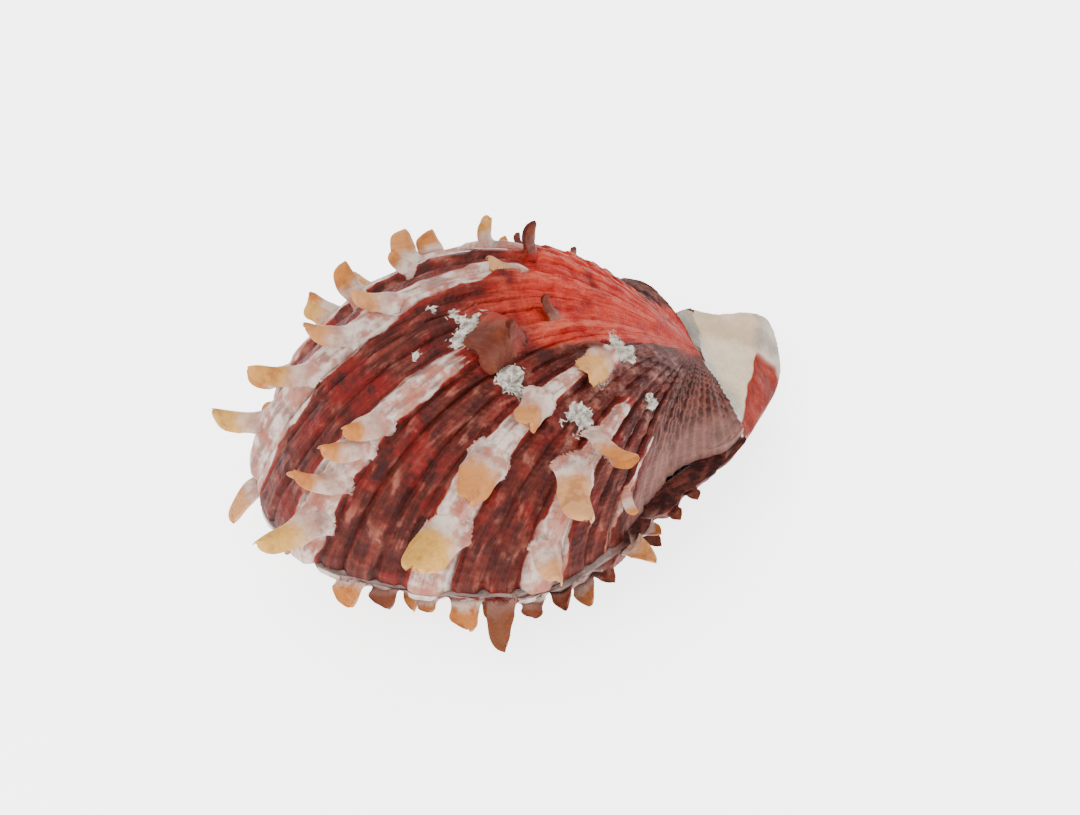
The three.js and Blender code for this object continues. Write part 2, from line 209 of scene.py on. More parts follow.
# Bumps as (distance in metres, strength), and roughness as (least, how much it varies).
LINE_BUMP = (0.00016, 0.4)
STREAK_BUMP = (0.0008, 0.6)
PATCH_BUMP = (0.0006, 0.4)
GRAIN_BUMP = (0.0003, 0.5)
RIBLET_BUMP = (0.0002, 0.4)
UPPER_ROUGHNESS = (0.45, 0.3)
LOWER_ROUGHNESS = (0.48, 0.25)
SPECULAR = 0.15

# The lower valve's rim: where it darkens and where the cream area starts, along x in mm, and how
# far below its flat top its colour ends.
RIM_DARKENS = (-40, -32)
HINGE_LINE = (-0.2, 0.4)
CREAM_FROM = (1.5, 4.5)
LEDGE_FADE = (-0.15, -0.05)

# Shades that the materials mix in, as screen colours.
DEEP_MAROON = 0x2B0704
BLOOD_RED = 0x5E0704
CRIMSON = 0x650A06
WORN_RED = 0x864A3C
SPECK_RED = 0x844234
STEP_EDGE = 0x8F5849
DEEP_CORAL = 0x8C0A04
PALE_CORAL = 0xB86048
DUST = (0x4A201A, 0x8E675D)
PLUM = (0x280C09, 0x57291F)
RIBLET_CREST = 0x8A5348
EAR_RIM = 0x8E6A62
STAINED_WHITE = 0x7A5A52
RED_STAIN = 0x94513F
BAND_EDGE = 0x7C150D
# Painted shade: near-black in the grooves between the ribs of the upper valve.
GROOVE_SHADE = 0x2C0704
CRUST_SHADES = (0x8A857A, 0xCFCBBE)
INSIDE = 0xE9E0D6
FOOT = (0x4C1C12, 0xB59C8D)
FOOT_STAIN = 0x835A4D
TIP = (0x4E1E12, 0xA8662C)
TIP_LIGHT = 0xC29A72
TIP_STAIN = 0x6E3214
TIP_RING = 0x7C4020
MAUVE = (0x3E1E1C, 0x83655F)
MAUVE_RED = 0x5A0C07
MAUVE_WHITE = 0x85706B
DARK_SIDE = (0x2A0E0B, 0x5E2A22)
LEDGE = (0x77655F, 0x9A8780)
DULL_CREAM = 0xB39C7E
PINK_TINT = 0xD09A80
# Bluish grey by the hinge: partly worn shell, partly painted shade in the dip along the hinge.
HINGE_GREY_AND_SHADE = (0x9C9890, 0xBDB8AE)
DEEP_ORANGE = 0x5E0C01
# Grey of the beak's rim and end: partly its grey-white shell, partly painted shade where the end wall turns
# from the light.
GREY_RIM_AND_SHADE = (0x857B70, 0xADA294)
SCAR = 0xA89C90

UPPER_POINTS = [
    (0, 18), (-1, 23), (-4, 28), (-11, 29), (-20, 28), (-33, 33), (-48, 37), (-64, 35), (-80, 26),
    (-91, 12), (-94.5, -2), (-91, -16), (-80, -27), (-65, -36), (-50, -39.5), (-36, -35), (-23, -26),
    (-15, -21.5), (-5, -21), (0, -18),
]
LOWER_POINTS = [
    (0, 18), (-1, 24), (-5, 29.5), (-11, 30.5), (-20, 29.5), (-33, 34), (-48, 38), (-64, 36), (-80, 27),
    (-91.5, 12), (-95, -2), (-91.5, -16), (-80, -28), (-65, -37), (-50, -41), (-36, -37), (-24, -30.5),
    (-13, -26), (-5, -23), (0, -19.5),
]
BEAK_POINTS = [
    (0, -19.5), (4, -15.5), (8, -10.5), (13, -6), (17.2, -2), (20, 3), (BEAK_REACH, 8.5), (19.6, 13),
    (15, 15.4), (9.5, 16), (4.5, 18.4), (0, 18),
]

# Ribs of the upper valve as (first u, last u, height in mm).
UPPER_RIBS = [
    (0.02, 0.065, 0.5), (0.065, 0.11, 0.5), (0.11, 0.155, 0.6),
    (0.155, 0.185, 1.6), (0.185, 0.215, 0.7), (0.215, 0.245, 1.6), (0.245, 0.272, 0.7), (0.272, 0.302, 1.7),
    (0.302, 0.318, 0.7), (0.318, 0.346, 1.7), (0.346, 0.37, 0.7), (0.37, 0.405, 1.8), (0.405, 0.44, 0.8),
    (0.438, 0.484, 2.0), (0.484, 0.5, 0.7), (0.5, 0.525, 0.9), (0.525, 0.549, 0.7), (0.549, 0.583, 2.0),
    (0.583, 0.602, 0.7), (0.602, 0.63, 1.1), (0.63, 0.649, 0.7), (0.649, 0.69, 2.1), (0.69, 0.715, 0.8),
    (0.715, 0.742, 0.8), (0.742, 0.774, 2.0), (0.774, 0.8, 0.7), (0.8, 0.827, 0.7), (0.827, 0.845, 1.2),
    (0.845, 0.88, 0.6), (0.88, 0.915, 0.6), (0.915, 0.95, 0.5), (0.95, 0.98, 0.5),
]

# Spines as (rib u, t, rise, lean, length, width, width left at the tip, tip colour). Rise is the
# angle in degrees from the growth direction to the outside, lean the angle towards the back. The
# tip colour runs from 0 for brown over 0.5 for orange to 1 for yellow.
UPPER_SPINES = [
    (0.668, 0.53, 5, 12, 10, 7.5, 0.8, 0.75), (0.668, 0.73, 28, 11, 9, 6.5, 0.75, 0.6),
    (0.671, 0.85, 38, 3, 12, 8.5, 0.55, 0.6), (0.672, 0.94, 50, -17, 13.5, 9, 0.7, 0.9),
    (0.755, 0.77, 74, 18, 13, 7, 0.4, 0.55), (0.753, 0.84, 47, 12, 13.5, 8.5, 0.8, 0.6),
    (0.758, 0.96, 57, 9, 8, 6.5, 0.5, 0.4), (0.836, 0.93, 45, 5, 4, 3.5, 0.7, 0.5),
    (0.56, 0.65, 15, 22, 11, 10, 0.9, 0.04), (0.566, 0.86, 54, -9, 9.5, 6, 0.5, 0.45),
    (0.568, 0.89, 66, -15, 11, 6, 0.45, 0.45), (0.57, 0.93, 88, -20, 13, 6, 0.35, 0.4),
    (0.568, 0.97, 68, -10, 14.5, 7.5, 0.5, 1.0), (0.58, 0.64, 70, -19, 8.4, 4, 0.3, 0.0),
    (0.546, 0.52, 42, -15, 8.5, 4, 0.3, 0.0), (0.44, 0.6, 22, 0, 8.5, 5.5, 0.6, 0.3),
    (0.457, 0.79, 42, 2, 10, 6, 0.6, 0.5), (0.465, 0.85, 54, 0, 10, 6, 0.65, 0.5),
    (0.47, 0.9, 56, 0, 12.5, 6.5, 0.5, 0.75), (0.455, 0.97, 62, -11, 12, 6.5, 0.7, 0.95),
    (0.386, 0.6, 78, 4, 7.2, 5, 0.3, 0.02), (0.388, 0.8, 62, -4, 5, 5, 0.7, 0.5),
    (0.386, 0.87, 92, -8, 7.5, 7, 0.9, 0.6), (0.372, 0.92, 65, -6, 8, 6, 0.75, 0.85),
    (0.388, 0.98, 47, 0, 9.5, 6.5, 0.7, 0.6), (0.332, 0.72, 96, 0, 5.6, 6, 1.1, 0.75),
    (0.33, 0.84, 88, -8, 7, 7.5, 0.95, 0.55), (0.332, 0.95, 65, 0, 9, 5.5, 0.6, 0.6),
    (0.287, 0.7, 76, 0, 2.4, 3, 0.5, 0.05), (0.287, 0.85, 78, -7, 6.5, 7.5, 0.9, 0.45),
    (0.287, 0.95, 60, 5, 9, 6, 0.6, 0.8), (0.23, 0.64, 70, 0, 2.4, 3, 0.5, 0.05),
    (0.23, 0.8, 65, 5, 4, 4, 0.6, 0.4), (0.23, 0.94, 60, 8, 10, 6, 0.6, 0.8),
    (0.17, 0.75, 60, 0, 2.8, 3, 0.6, 0.1), (0.17, 0.92, 55, 10, 8, 5.5, 0.6, 0.6),
]

# Patches of dead worm tubes on the upper valve as (u, t, radius in mm).
CRUST = [
    (0.531, 0.69, 5.5), (0.552, 0.655, 4.5), (0.622, 0.71, 4.5), (0.655, 0.455, 4.5), (0.722, 0.73, 4),
    (0.488, 0.745, 1.8), (0.533, 0.779, 1.8), (0.7, 0.6, 2.2), (0.8, 0.62, 2.5),
]

# White bands of the upper valve as (early u and width, u and width at t 1, t at the start).
WHITE_BANDS = [
    (0.435, 0.052, 0.472, 0.054, 0.62), (0.564, 0.026, 0.563, 0.036, 0.7),
    (0.666, 0.022, 0.674, 0.038, 0.58), (0.757, 0.024, 0.762, 0.034, 0.62),
    (0.856, 0.005, 0.824, 0.007, 0.74), (0.37, 0.03, 0.382, 0.032, 0.6),
    (0.33, 0.028, 0.332, 0.03, 0.62), (0.287, 0.024, 0.287, 0.026, 0.7),
    (0.23, 0.024, 0.23, 0.026, 0.68), (0.17, 0.02, 0.17, 0.024, 0.72),
]

# Spines of the lower valve, in the same form as those of the upper valve.
LOWER_SPINES = [
    (0.474, 0.97, 70, -18, 12, 5.5, 0.6, 0.5), (0.545, 0.97, 66, 0, 3.5, 5, 0.7, 0.3),
    (0.609, 0.97, 70, -14, 6.5, 7, 0.85, 0.45), (0.637, 0.97, 70, -19, 4.8, 6, 1.0, 0.1),
    (0.672, 0.97, 70, -13, 3, 5, 0.8, 0.2), (0.704, 0.97, 70, -7, 6.8, 7, 0.8, 0.3),
    (0.732, 0.97, 70, -6, 11, 6.5, 0.7, 0.12), (0.755, 0.97, 70, 0, 3.8, 5, 0.8, 0.1),
    (0.779, 0.97, 50, 0, 4.8, 5.5, 0.5, 0.05), (0.818, 0.97, 60, -5, 3.4, 4.5, 0.6, 0.0),
    (0.849, 0.97, 40, -13, 10, 6, 0.55, 0.4), (0.872, 0.97, 42, -18, 4.2, 4, 0.7, 0.2),
    (0.903, 0.97, 50, 0, 3, 3.5, 0.7, 0.0), (0.928, 0.97, 50, 0, 2.6, 3.2, 0.7, 0.0),
    (0.43, 0.96, 66, 0, 7, 5.5, 0.6, 0.5),
    (0.395, 0.97, 62, 5, 8, 5.5, 0.6, 0.5), (0.355, 0.96, 66, 4, 10, 6, 0.6, 0.7),
    (0.315, 0.97, 60, 0, 7, 5, 0.6, 0.4), (0.28, 0.96, 62, -5, 11, 6, 0.6, 0.7),
    (0.24, 0.97, 58, 4, 8, 5.5, 0.6, 0.5), (0.2, 0.96, 60, 8, 9, 5.5, 0.6, 0.6),
    (0.16, 0.97, 55, 6, 6.5, 5, 0.6, 0.4), (0.115, 0.97, 50, 5, 5, 4, 0.6, 0.4),
    (0.41, 0.86, 70, 0, 8, 5.5, 0.6, 0.5), (0.335, 0.87, 68, 6, 8, 5.5, 0.6, 0.5),
    (0.26, 0.86, 66, -4, 9, 5.5, 0.6, 0.6), (0.18, 0.87, 62, 0, 6.5, 5, 0.6, 0.4),
    (0.49, 0.87, 70, -4, 7, 5.5, 0.6, 0.5), (0.57, 0.86, 70, 5, 7, 6, 0.6, 0.4),
    (0.64, 0.87, 68, -5, 6.5, 5.5, 0.6, 0.3), (0.71, 0.86, 66, 0, 6.5, 6, 0.6, 0.2),
    (0.79, 0.87, 62, 5, 6, 5.5, 0.6, 0.2), (0.87, 0.87, 58, 0, 5, 4.5, 0.6, 0.1),
]


# Sizes and colours that a user would change


def length_property(name, description, millimetres):
    return bpy.props.FloatProperty(
        name=name, description=description, default=millimetres * MM, unit="LENGTH")


class ShellSizes(bpy.types.PropertyGroup):
    """Sizes of the shell."""

    edge: length_property("Margin edge", "Thickness of the upper valve at its margin", 1.6)
    gap: length_property("Gap", "Gap between the closed valves", 0.3)
    depth: length_property("Depth", "Depth of the lower valve before its scar is cut", 26)
    scar_depth: length_property("Scar depth", "Depth of the flat scar under the hinge", 22)
    crest: bpy.props.FloatProperty(
        name="Crest", description="How far the upper valve turns up behind its margin",
        default=math.radians(49.7), subtype="ANGLE", unit="ROTATION")
    columns: bpy.props.IntProperty(
        name="Columns", description="Mesh columns along a margin", default=480, min=24)
    rows: bpy.props.IntProperty(
        name="Rows", description="Mesh rows from umbo to margin", default=160, min=12)


def linear(hex_colour):
    """The linear colour of a written screen colour."""
    parts = [((hex_colour >> shift) & 255) / 255 for shift in (16, 8, 0)]
    return tuple(c / 12.92 if c <= 0.04045 else ((c + 0.055) / 1.055) ** 2.4 for c in parts)


def colour_property(name, description, hex_colour):
    return bpy.props.FloatVectorProperty(
        name=name, description=description, subtype="COLOR", size=3, min=0, max=1,
        default=linear(hex_colour))


class ShellColours(bpy.types.PropertyGroup):
    """Colours of the shell."""

    maroon: colour_property("Maroon", "Dark red-brown between the ribs", 0x561B10)
    coral: colour_property("Coral", "Bright red by the umbo", 0xA83220)
    white: colour_property("White", "White rib crests", 0xBDAA9E)
    ochre: colour_property("Ochre", "Yellow of the spine tips", 0xB98A3C)
    cream: colour_property("Cream", "Sloping top of the beak", 0xCCB99F)
    orange: colour_property("Orange", "Front flank of the beak", 0x821E06)


# Lines and surfaces


class Margin:
    """A smooth line through given points, read by its share of the length."""

    STEPS = 40

    def __init__(self, points):
        points = np.array(points, float)
        padded = np.vstack([points[:1], points, points[-1:]])
        share = np.linspace(0, 1, self.STEPS, endpoint=False)[:, None]
        spans = []
        for a, b, c, d in zip(padded, padded[1:], padded[2:], padded[3:]):
            start, end = (c - a) / 2, (d - b) / 2
            spans.append(
                (2 * b - 2 * c + start + end) * share ** 3
                + (3 * c - 3 * b - 2 * start - end) * share ** 2 + start * share + b)
        self.line = np.vstack([*spans, points[-1:]])
        steps = np.hypot(*np.diff(self.line, axis=0).T)
        self.share = np.concatenate([[0], np.cumsum(steps)]) / steps.sum()

    def at(self, u):
        """x and y at the share of the length u."""
        return [np.interp(u, self.share, self.line[:, axis]) for axis in (0, 1)]


def smooth(value, low, high):
    share = np.clip((value - low) / (high - low), 0, 1)
    return share * share * (3 - 2 * share)


def lerp(low, high, share):
    return low + (high - low) * share


def within(value, low, low_full, high_full, high):
    """1 between the two full places, and smoothly 0 outside them."""
    return smooth(value, low, low_full) * (1 - smooth(value, high_full, high))


class Mottle:
    """Smooth noise in space: random values on a lattice that repeats."""

    SIZE = 32

    def __init__(self, seed):
        self.values = np.random.default_rng(seed).uniform(-1, 1, (self.SIZE,) * 3)

    def at(self, points, cell):
        """Values between -1 and 1 at the points, with a lattice step of one cell."""
        place = np.asarray(points) / cell
        low = np.floor(place).astype(int)
        share = place - low
        share = share * share * (3 - 2 * share)
        total = 0
        for corner in np.ndindex(2, 2, 2):
            weight = np.prod(np.where(corner, share, 1 - share), axis=-1)
            index = (low + corner) % self.SIZE
            total = total + weight * self.values[tuple(np.moveaxis(index, -1, 0))]
        return total


UPPER_MARGIN = Margin(UPPER_POINTS)
LOWER_MARGIN = Margin(LOWER_POINTS)
BEAK_RIM = Margin(BEAK_POINTS)


class Valve:
    """What both valves share: a smooth outside, its directions and its relief."""

    last_u = 1

    def __init__(self, sizes):
        self.sizes = sizes
        self.mottle = Mottle(self.seed)

    def directions(self, u, t):
        """The growth direction, the way out and the way across at places on the valve."""
        step = 0.002
        late = np.minimum(t, 1 - step)
        before, after = np.maximum(u - step, 0), np.minimum(u + step, 1)
        across = self.smooth_at(after, late) - self.smooth_at(before, late)
        growth = unit(self.smooth_at(u, late + step) - self.smooth_at(u, late - step))
        out = unit(np.cross(across, growth))
        inside = np.array([*MIDDLE, 0.0])
        flip = np.sum(out * (self.smooth_at(u, t) - inside), axis=-1) < 0
        out = np.where(flip[..., None], -out, out)
        return growth, out, np.cross(out, growth)

    def rib_point(self, u, t):
        """A point on the ribs, without the finer relief."""
        _, out, _ = self.directions(u, t)
        height = rib_profile(self.ribs, u)[0] * smooth(t, *RIBS_GROW)
        return self.smooth_at(u, t) + out * height[..., None]

    def foot(self, spine):
        """The middle of a spine's foot, with its u and t."""
        u, t = np.array([float(spine[0])]), np.array([min(spine[1], SPINE_LAST_T)])
        return self.rib_point(u, t)[0], u, t

    def surface(self, u, t):
        """The outside with its ribs, growth steps and the mounds that carry the spines."""
        point = self.smooth_at(u, t)
        _, out, _ = self.directions(u, np.maximum(t, 0.02))
        return point + out * self.relief(u, t, point)[..., None]

    def steps(self, t, point, across):
        """Growth steps that wander, and bend at each rib."""
        wander = self.mottle.at(point, STEP_CELL)
        return growth_steps(t, wander + 0.5 * np.cos(RIB_TURN * across))

    def rough(self, point, broad, fine):
        """Uneven growth, from how much of it is broad and how much is fine, in mm."""
        return broad * self.mottle.at(point, BROAD_CELL) + fine * self.mottle.at(point, FINE_CELL)

    def clouds(self, point):
        """Large and small mottling for the markings."""
        return self.mottle.at(point, CLOUD_CELL), self.mottle.at(point, SPOT_CELL)


def unit(vector):
    return vector / np.maximum(np.linalg.norm(vector, axis=-1, keepdims=True), 1e-9)


def rib_profile(ribs, u):
    """How high the ribs are at u, in mm, and how far across its rib u lies, from 0 to 1."""
    height = np.zeros_like(u)
    across = np.full_like(u, 0.5)
    for first, last, high in ribs:
        share = (u - first) / (last - first)
        inside = (share > 0) & (share < 1)
        shoulder = HIGH_SHOULDER if high > HIGH_RIB else LOW_SHOULDER
        height = np.where(inside, high * smooth(np.minimum(share, 1 - share), 0, shoulder), height)
        across = np.where(inside, share, across)
    return height, across


def even_ribs():
    """The lower valve's ribs, all of one width, high and low by turns."""
    count = LOWER_RIB_COUNT
    edges = [LOWER_RIBS_FROM + LOWER_RIBS_SPAN * i / count for i in range(count + 1)]
    heights = [LOWER_RIB_HEIGHTS[i % 2] for i in range(count)]
    return list(zip(edges, edges[1:], heights))


def growth_steps(t, wave):
    """Overlapping growth edges: a slow rise and a quick drop, from 0 to 1."""
    line = STEP_COUNT * t ** STEP_CROWDING + STEP_WANDER * wave + 0.4 * np.sin(9 * t + 2)
    share = line - np.floor(line)
    return share ** 1.6 * (1 - smooth(share, STEP_DROP, 1))


def spine_mounds(spines, u, t):
    """Raised tracks on the ribs that sweep up into the spines, in mm."""
    raised = np.zeros_like(u)
    for place_u, place_t, _, _, length, width, _, _ in spines:
        across = np.exp(-((u - place_u) / (MOUND_WIDTH * width)) ** 2)
        behind = np.exp(-np.abs((t - place_t) / MOUND_BEHIND))
        ahead = np.exp(-((t - place_t) / MOUND_AHEAD) ** 2)
        along = np.where(t < place_t, behind, ahead)
        raised = np.maximum(raised, MOUND_HEIGHT * length * across * along)
    return raised


class UpperValve(Valve):
    """The free, domed valve."""

    seed = 11
    ribs = UPPER_RIBS
    spines = UPPER_SPINES

    def smooth_at(self, u, t):
        x, y = UPPER_MARGIN.at(u)
        age = 1 - t
        lift = 1 + BACK_LIFT * smooth(y, -20, 33)
        angle = self.sizes.crest * (1 - np.exp(-age / CREST_GROWTH)) * lift
        size = t ** UMBO_TAPER
        across = (y - FRONT_DRIFT * age * x) * (1 - UMBO_WIDENING * age)
        return np.stack([
            size * x * np.cos(angle) + UMBO[0] * age,
            size * across + UMBO[1] * age,
            -size * x * np.sin(angle) + UMBO[2] * age,
        ], axis=-1)

    def relief(self, u, t, point):
        height, across = rib_profile(self.ribs, u)
        grown = smooth(t, *RIBS_GROW)
        steps = self.steps(t, point, across)
        riblets = np.cos(2 * np.pi * u / RIBLET_WIDTH) * smooth(u, *RIBLETS_FROM) * grown
        rough = self.rough(point, 0.3, 0.14)
        tubes = self.crust(u, t, point) * (1 - np.abs(self.mottle.at(point, TUBE_CELL)) * 3) * TUBE_HEIGHT
        shape = height * grown + STEP_HEIGHT * steps * smooth(t, *STEPS_GROW) + RIBLET_HEIGHT * riblets
        mounds = spine_mounds(self.spines, u, t)
        return shape + (rough + tubes + mounds) * smooth(t, *RELIEF_GROWS)

    def crust(self, u, t, point):
        """Where dead worm tubes cover the shell, from 0 to 1."""
        cover = np.zeros_like(u)
        for place_u, place_t, radius in CRUST:
            centre = self.smooth_at(np.array([place_u]), np.array([place_t]))[0]
            away = np.linalg.norm(point - centre, axis=-1) / radius
            away = away + 0.45 * self.mottle.at(point, CRUST_CELL)
            cover = np.maximum(cover, 1 - smooth(away, 0.5, 0.95))
        return cover

    def markings(self, u, t, point, spine):
        """The markings of the upper valve by name, and the painted shade in its rib grooves."""
        cloud, cell = self.clouds(point)
        height, across = rib_profile(self.ribs, u)
        steps = self.steps(t, point, across)
        bare = spine <= 0
        coral_end = lerp(0.62, 0.12, smooth(u, 0.585, 0.69)) + 0.05 * cloud + 0.03 * cell
        middle = within(u, 0.46, 0.52, 0.66, 0.74) * within(t, 0.6, 0.7, 0.9, 0.97)
        dusty = smooth(t, 0.2, 0.35) * (1 - smooth(t + 0.05 * cloud, 0.68, 0.84))
        # Painted shade along the grooves at both sides of each rib.
        groove_shade = smooth(np.abs(across - 0.5), 0.4, 0.5) * (1 - smooth(u, 0.85, 0.87))
        bands = band_cover(WHITE_BANDS, u, t, 0.6 * cell + 0.4 * cloud)
        return {
            "white": np.maximum(bands, spine_feet(self, point, cell)),
            "coral": 1 - smooth(t, coral_end - 0.05, coral_end + 0.08),
            "blotch": middle * smooth(cloud + 0.6 * cell, -0.35, 0.35) + 0.25 * smooth(cell, 0.1, 0.5),
            "ear": smooth(u + 0.02 * cell, *EAR_FROM) * smooth(t, 0.3, 0.45),
            "pale": smooth(height, 0.75, HIGH_RIB) * 0.8 + 0.5 * smooth(u, 0.5, 0.6),
            "dust": smooth(u + 0.03 * cloud, 0.6, 0.68) * dusty,
            "crust": self.crust(u, t, point) * bare,
            "lamella": smooth(steps, 0.45, 0.75) * smooth(t, 0.3, 0.6) * bare,
            "groove_shade": groove_shade * smooth(t, 0.55, 0.75) * bare,
        }


class LowerValve(Valve):
    """The deep valve that was cemented down, with its beak."""

    last_u = 2
    seed = 23
    spines = LOWER_SPINES
    ribs = even_ribs()

    @property
    def top(self):
        return -(self.sizes.edge + self.sizes.gap) / MM

    def smooth_at(self, u, t):
        margin = LOWER_MARGIN.at(np.minimum(u, 1))
        beak = BEAK_RIM.at(np.clip(u - 1, 0, 1))
        rim_x, rim_y = (np.where(u <= 1, m, b) for m, b in zip(margin, beak))
        x = lerp(LOWER_UMBO[0], rim_x, t)
        y = lerp(LOWER_UMBO[1], rim_y, t)
        full = smooth(-x, -BEAK_REACH, -LOWER_FULL_FROM)
        deep = self.sizes.depth / MM * lerp(BEAK_SHARE, 1, full)
        share = smooth(rim_x, 0, BEAK_BULGE_FULL_FROM)
        fall, turn = (lerp(low, high, share) for low, high in zip(LOWER_BULGE, BEAK_BULGE))
        bulge = np.maximum(1 - t ** fall, 0) ** turn
        return np.stack([x, y, self.top - deep * bulge], axis=-1)

    def relief(self, u, t, point):
        height, across = rib_profile(self.ribs, u)
        steps = self.steps(t, point, across)
        rough = self.rough(point, 0.35, 0.16) * lerp(1, 0.4, smooth(u, 1, 1.03))
        shape = height * smooth(t, *RIBS_GROW) + STEP_HEIGHT * steps * smooth(t, *STEPS_GROW) * (u < 1)
        mounds = spine_mounds(self.spines, np.minimum(u, 1), t)
        return shape + (rough + mounds) * smooth(t, *RELIEF_GROWS)

    def markings(self, u, t, point, spine):
        """The markings of the lower valve by name, with painted shade in the grey of the beak's end."""
        cloud, cell = self.clouds(point)
        height, _ = rib_profile(self.ribs, u)
        x, y = point[:, 0], point[:, 1]
        outside = flank_distance(x, y) + 0.8 * cloud + 0.5 * cell
        beak = smooth(x, 0, 2)
        rim = smooth(y + 0.35 * x + 1.2 * cloud, 6.5, 10.5)
        # The beak's end wall goes grey: partly the shell's own colour, partly painted shade.
        end = smooth(x + 0.5 * cell, 16.2, 17.6)
        crests = 0.7 * smooth(height, 0.8, 1.3) * smooth(t + 0.1 * cell, 0.5, 0.7)
        return {
            "white": np.maximum(crests * (1 - smooth(u, 0.8, 0.84)), spine_feet(self, point, cell)),
            "red": smooth(cloud + 0.5 * cell, -0.3, 0.5) + smooth(u, 0.84, 0.9) * (u < 1.2),
            "dark": smooth(u, 0.84, 0.88) * (u < 1.01) * smooth(t, 0.55, 0.7),
            "orange": beak * smooth(outside, -0.6, 0.9) * (1 - rim),
            "rim": beak * np.maximum(rim * smooth(outside, -1.5, 1.5), end),
            "tint": smooth(x + cell, 9, 15),
        }


# Mesh work


def deselect_all():
    bpy.ops.object.select_all(action="DESELECT")


def add(primitive, **settings):
    """Adds a primitive, lamp or camera while nothing is selected, and gives its object."""
    deselect_all()
    primitive(**settings)
    return bpy.context.object


def set_mode(mode):
    bpy.ops.object.mode_set(mode=mode)


def take(piece):
    """Makes a piece the only selected and the active object."""
    deselect_all()
    piece.select_set(True)
    bpy.context.view_layer.objects.active = piece
    return piece


def to_frame(points):
    """Points in mm about the hinge as metres in the shell's frame."""
    return (np.asarray(points) + ORIGIN) * MM


def from_frame(points):
    """Points in metres in the shell's frame as mm about the hinge."""
    return np.asarray(points) / MM - ORIGIN


def read_points(mesh):
    points = np.empty(len(mesh.vertices) * 3)
    mesh.vertices.foreach_get("co", points)
    return points.reshape(-1, 3)


def write_points(mesh, points):
    mesh.vertices.foreach_set("co", np.asarray(points, float).ravel())
    mesh.update()


def read_values(mesh, name):
    values = np.zeros(len(mesh.vertices), np.float32)
    if name in mesh.attributes:
        mesh.attributes[name].data.foreach_get("value", values)
    return values.astype(float)


def write_values(mesh, name, values):
    """Stores one number for each vertex under a name that the material reads."""
    attribute = mesh.attributes.get(name) or mesh.attributes.new(name, "FLOAT", "POINT")
    values = np.broadcast_to(values, len(mesh.vertices)).astype(np.float32)
    attribute.data.foreach_set("value", values.ravel())


def read_edges(mesh):
    edges = np.empty(len(mesh.edges) * 2, int)
    mesh.edges.foreach_get("vertices", edges)
    return edges.reshape(-1, 2)


def new_grid(name, columns, rows):
    """A flat grid, with the place of each vertex across and along it from 0 to 1."""
    piece = add(bpy.ops.mesh.primitive_grid_add, x_subdivisions=columns, y_subdivisions=rows, size=2)
    piece.name = piece.data.name = name
    share = (read_points(piece.data)[:, :2] + 1) / 2
    return piece, share[:, 0], share[:, 1]


def edit_all(piece, *steps):
    """Runs edit steps on the whole mesh of a piece."""
    take(piece)
    set_mode("EDIT")
    bpy.ops.mesh.select_all(action="SELECT")
    for step in steps:
        step()
    set_mode("OBJECT")
    return piece


def face_outward():
    bpy.ops.mesh.normals_make_consistent(inside=False)


def close_to_level(piece, level):
    """Closes an open sheet by a straight skirt down or up to a level in mm, and a flat cap."""
    edit_all(piece, lambda: bpy.ops.mesh.remove_doubles(threshold=2e-6))
    set_mode("EDIT")
    bpy.ops.mesh.select_all(action="DESELECT")
    bpy.ops.mesh.select_mode(type="EDGE")
    bpy.ops.mesh.select_non_manifold(extend=False, use_wire=False, use_multi_face=False, use_verts=False)
    bpy.ops.mesh.extrude_region_move()
    set_mode("OBJECT")
    height = (level + ORIGIN[2]) * MM
    for vertex in piece.data.vertices:
        if vertex.select:
            vertex.co.z = height
    set_mode("EDIT")
    bpy.ops.mesh.edge_face_add()
    set_mode("OBJECT")
    return edit_all(piece, face_outward)


def join_or_cut(piece, tool, operation, mark=None):
    """Applies a boolean of the piece with a tool, marks the tool's surface and removes the tool."""
    if mark:
        write_values(piece.data, mark, read_values(piece.data, mark))
        write_values(tool.data, mark, 1)
    take(piece)
    modifier = piece.modifiers.new(operation, "BOOLEAN")
    modifier.operation = operation
    modifier.solver = "MANIFOLD"
    modifier.object = tool
    bpy.ops.object.modifier_apply(modifier=modifier.name)
    bpy.data.meshes.remove(tool.data)
    return piece


def valve_sheet(valve, name, columns, rows, place):
    """A grid laid over a valve by a rule that gives its points for u and t."""
    piece, u, t = new_grid(name, columns, rows)
    u = u * valve.last_u
    t = 1 - (1 - t) ** ROW_CROWDING
    points = place(u, t)
    points[t == 0] = points[t == 0].mean(axis=0)
    write_points(piece.data, to_frame(points))
    write_values(piece.data, "u", u)
    write_values(piece.data, "t", t)
    return piece


def hollow_piece(valve, share, level, cap_level):
    """The hollow of a valve, ended behind the hinge plate."""
    centre = np.array([*MIDDLE, level])

    def inner(u, t):
        return centre + (valve.smooth_at(u, t) - centre) * share

    piece = valve_sheet(valve, "hollow", *HOLLOW_GRID, inner)
    close_to_level(piece, cap_level)
    before_hinge = box_piece((-FAR, -FAR, -FAR), (-HINGE_PLATE, FAR, FAR))
    return join_or_cut(piece, before_hinge, "INTERSECT")


def box_piece(low, high):
    low, high = to_frame(low), to_frame(high)
    piece = add(bpy.ops.mesh.primitive_cube_add, size=1)
    write_points(piece.data, (read_points(piece.data) + 0.5) * (high - low) + low)
    return piece


